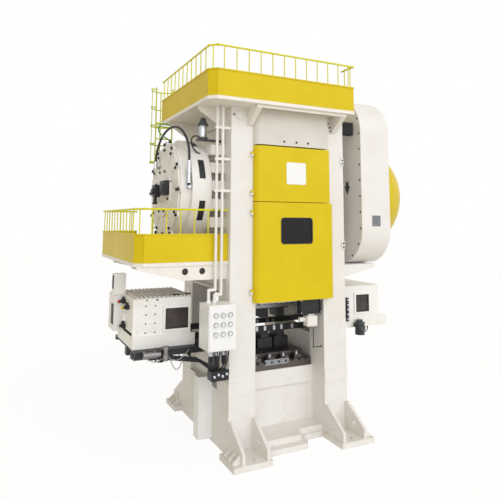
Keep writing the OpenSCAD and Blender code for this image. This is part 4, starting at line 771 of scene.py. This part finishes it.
# Air service under the gauge box: three units with bright cast heads and black bowls, a black valve
# block with nipples on a bracket, and four rubber lines between them.
heads = [(0, 0), (0.046, 0), (0.046, -0.05), (0.052, -0.055), (0.052, -0.12), (0.046, -0.125),
         (0, -0.125)]
bowls = [(0, -0.124), (0.043, -0.124), (0.043, -0.25), (0.037, -0.28), (0.013, -0.3),
         (0.013, -0.325), (0, -0.325)]
unit_at = [(x, -1.42, 1.97) for x in (-1.76, -1.63, -1.5)]
skin("air_service_heads", turned(heads, unit_at, up, 28), "frame", bright_steel)
skin("air_service_bowls", turned(bowls, unit_at, up, 28), "frame", black_paint)
block_mid, block_w, block_h, block_deep = (-1.6, -1.5, 1.5), 0.34, 0.17, 0.2
skin("valve_block", layered(block_mid, sideways, up, block_w, block_h, 0.012,
                            slab(0.004, 0.004, -block_deep)), "frame", black_paint)
bracket_mid, bracket_w, bracket_h, bracket_t = (-1.472, -1.3, 1.5), 0.275, 0.08, 0.03
skin("valve_bracket", layered(bracket_mid, sideways, up, bracket_w, bracket_h, 0.006,
                              slab(0, 0, -bracket_t), 16), "frame", black_paint)
nipple = [(0, 0), (0.022, 0), (0.022, 0.02), (0.016, 0.022), (0.016, 0.045), (0.011, 0.048),
          (0, 0.048)]
nipple_at = [(-1.72 + 0.08 * k, -1.504, 1.5 + 0.03 * (k % 2)) for k in range(4)]
skin("valve_fittings", turned(nipple, nipple_at, front, 12, True),
     "frame", bright_steel)
line_r, line_rise = 0.012, np.array([0.05, -0.12, 0.4])
stay = np.linspace(0, 1, 24)[:, None]
lines = []
for k, x in enumerate((-1.73, -1.65, -1.57, -1.49)):
    bow = np.sin(np.pi * stay) * np.array([0.03 * (-1) ** k, -0.05 - 0.02 * k, 0])
    lines.append(swept(np.array([x, -1.4, 1.58]) + stay * line_rise + bow, line_r, 10))
skin("air_lines", np.array(lines), "frame", hose_rubber)

# Transfer housings: white powder-coated sheet boxes with screwed panels and smoked panes in rubber
# profiles, a slat cover of grey coated steel, and black valves with moulded caps at the infeed's end.
# coated slats: pale grey, slightly dirty
slat_paint = painted("grey_coated_slats", "#DAD6CD", "#D0CBC0", "#A39B8B", 0.4)
# powder coat: clean warm white, even
housing_paint = painted("white_powder_coat", "#F4F2ED", "#EFECE5", "#BDB5A5", 0.36)
finish_nodes(housing_paint, "infeed_housing", "infeed_tray", "outfeed_housing", "infeed_cabinet")
finish_nodes(slat_paint, "infeed_cover")
finish_nodes(black_paint, "feed_valves", "infeed_arm", "front_beam", "rear_beam")
finish_nodes(motor_paint, "feed_motors", "outfeed_motor")
finish_nodes(milled_steel, "feed_carriage", "lift_yoke", "front_fingers", "rear_fingers")
# smoked polycarbonate: brownish black, a little lighter than the door's glass
finish_nodes(glazed("smoked_polycarbonate", "#2B2726", "#5A514E", 0.3), "feeder_glass")
wall_y, panel_screw = -0.6, 0.014
panel_screws = [(x, wall_y, z) for x in (-2.755, -2.575) for z in (2.18, 2.345, 2.51, 2.67)]
panel_screws += [(x, wall_y, 2.775) for x in (-2.74, -2.55, -2.53)]
skin("panel_screws", turned(screw_profile * panel_screw, panel_screws, front, 16),
     "frame", bolt_steel)
seal_y, seal_z, seal_h, seal_lap, seal_corner = -0.63, 2.415, 0.386, 0.016, 0.012
housing_seal = [(0, -0.002), (0, 0.004), (0.004, 0.007), (0.012, 0.007), (0.016, 0.002),
                (0.018, -0.018)]
for name, x, wide in (("infeed_pane_gasket", -2.15, 0.44), ("outfeed_pane_gasket", 2.325, 0.35)):
    skin(name, layered((x, seal_y, seal_z), sideways, up, wide + seal_lap, seal_h, seal_corner,
                       housing_seal, 24), "frame", gasket_rubber, ring=True)
knob = [(0, 0), (0.03, 0), (0.034, 0.006), (0.034, 0.026), (0.028, 0.034), (0, 0.036)]
# moulded cap: brick red plastic, satin
red_plastic = painted("red_moulded_cap", "#B23A22", "#A3321E", "#6E2A1C", 0.4)
for name, at, finish in (("red_valve_cap", (-3.115, 0.04, 2.69), red_plastic),
                         ("yellow_valve_cap", (-3.115, -0.265, 2.62), door_paint)):
    skin(name, turned(knob, [at], (-1, 0, 0), 24), "frame", finish)

# Feeder cabinet's openings: black pressed plates with rows of dark grey louvre blades, screwed to
# the cabinet's left side.
for name, middle, wide, tall in (("cabinet_louvres", (-3.19, 0.33, 2.42), 0.2, 0.4),
                                 ("cabinet_vent", (-3.22, 0.21, 3.055), 0.12, 0.27)):
    skin(name, layered(middle, front, up, wide, tall, 0.008, slab(0.006, 0.002), 24),
         "frame", black_paint)
    blades = np.array(middle) + np.linspace(-0.42, 0.42, 9)[:, None] * np.array([0.0, 0.0, tall])
    blade_steps = [(0, 0.005), (0.002, 0.014), (0.006, 0.018), (None, 0.019)]
    skin(name + "_blades", layered(blades, front, up, wide - 0.03, 0.02, 0.009, blade_steps, 24),
         "frame", motor_paint)

# Transfer motors: cast housings in dark grey enamel with cooling fins turned round them, one upright
# at the outfeed and one lying under the infeed.
fin_low, fin_high, fin_long, lying_size = 0.1, 0.108, 0.24, 0.98
fins = [(fin_low if k % 2 else fin_high, z) for k, z in enumerate(np.linspace(0.0, fin_long, 33))]
ribbed = np.array([(0, 0), *fins, (0, fin_long)])
skin("outfeed_motor_fins", turned(ribbed, [(2.13, -0.76, 1.76)], up, 40),
     "frame", motor_paint)
skin("feed_motor_fins", turned(ribbed * lying_size, [(-2.92, -0.45, 1.765)], sideways, 40),
     "frame", motor_paint)

# Filter post and catch on the infeed's cover: a cream capped post on a black turned foot, and a
# flat black catch, both screwed down.
top_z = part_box("infeed_cover")[1].z
filter_at, catch_at = (-1.9, -0.52, top_z), (-2.16, -0.57, top_z)
foot = [(0, 0), (0.06, 0), (0.06, 0.018), (0.044, 0.022), (0, 0.022)]
post = [(0, 0.02), (0.036, 0.02), (0.038, 0.03), (0.038, 0.13), (0.03, 0.15), (0.012, 0.158),
        (0, 0.158)]
skin("filter_foot", turned(foot, [filter_at], up, 28), "frame", black_paint)
skin("filter_post", turned(post, [filter_at], up, 28), "frame", cover_paint)
skin("cover_catch", layered(catch_at, sideways, rear, 0.17, 0.05, 0.01, slab(0.016, 0.004), 24),
     "frame", black_paint)

# Lift drive under the infeed: a geared motor lying on the front arm, its upright screw jack and
# cables tied along the arm. Housings of cast alloy, cables with a grey sheath.
arm_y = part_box("infeed_arm")[0].y
# cast alloy: warm mid grey, dull
cast_alloy = metal("cast_alloy_housing", "#A7A3A0", "#6F6A67", 0.45, 20)
motor_can = [(0, 0), (0.066, 0), (0.07, 0.006), (0.07, 0.04), (0.055, 0.044), (0.055, 0.2),
             (0.061, 0.204), (0.061, 0.25), (0.045, 0.254), (0.045, 0.33), (0, 0.33)]
skin("lift_motor", turned(motor_can, [(-2.87, arm_y - 0.056, 1.845)], sideways, 32),
     "frame", cast_alloy)
jack = [(0, 0), (0.048, 0), (0.048, 0.03), (0.062, 0.034), (0.062, 0.12), (0.05, 0.126), (0.05, 0.2),
        (0.068, 0.206), (0.068, 0.25), (0.03, 0.256), (0, 0.256)]
skin("lift_jack", turned(jack, [(-2.44, arm_y - 0.062, 1.72)], up, 32),
     "frame", cast_alloy)
# cable sheath: light grey plastic
cable_grey = rubbery("grey_cable_sheath", "#8F8B86", "#B4B0AA", 0.5, 10)
cable_r, cable_bow, cable_y = 0.009, -0.04, arm_y - 0.012
stay = np.linspace(0, 1, 40)[:, None]
loops = []
for start, end, sag in (((-2.4, 1.76), (-1.98, 1.86), 0.1), ((-2.37, 1.8), (-2.1, 1.68), 0.2),
                        ((-2.8, 1.8), (-2.5, 1.75), 0.06)):
    straight = np.array([end[0] - start[0], 0, end[1] - start[1]])
    hang = np.sin(np.pi * stay) * np.array([0, cable_bow, -sag])
    loops.append(swept(np.array([start[0], cable_y, start[1]]) + stay * straight + hang, cable_r, 8))
skin("lift_cables", np.array(loops), "frame", cable_grey)

# Valve strip at the near end of the outfeed housing: five black solenoid valves with bright nipples,
# screwed one above the other.
strip_at = [(1.88, wall_y, 2.09 + 0.105 * k) for k in range(5)]
skin("outfeed_valves", layered(strip_at, sideways, up, 0.085, 0.098, 0.01,
                               slab(0.056, 0.006, -0.004), 24), "frame", black_paint)
nipples = [(x, y - 0.055, z) for x, y, z in strip_at]
skin("outfeed_valve_fittings", turned(nipple, nipples, front, 12, True),
     "frame", bright_steel)

# Beam clamps: bright zinc-plated blocks bolted along the face of the front beam. They sit low on it,
# so that the lifted beam passes under the holder at the bottom of the stroke.
beam_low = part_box("front_beam")[0]
clamp_w, clamp_h, clamp_corner = 0.06, 0.1, 0.008
clamp_at = [(x, beam_low.y, beam_low.z + 0.07) for x in (-0.62, -0.34, -0.15, 0.07, 0.25, 0.52)]
skin("beam_clamps", layered(clamp_at, sideways, up, clamp_w, clamp_h, clamp_corner,
                            slab(0.022, 0.004), 24), "front_gripper", bright_steel)
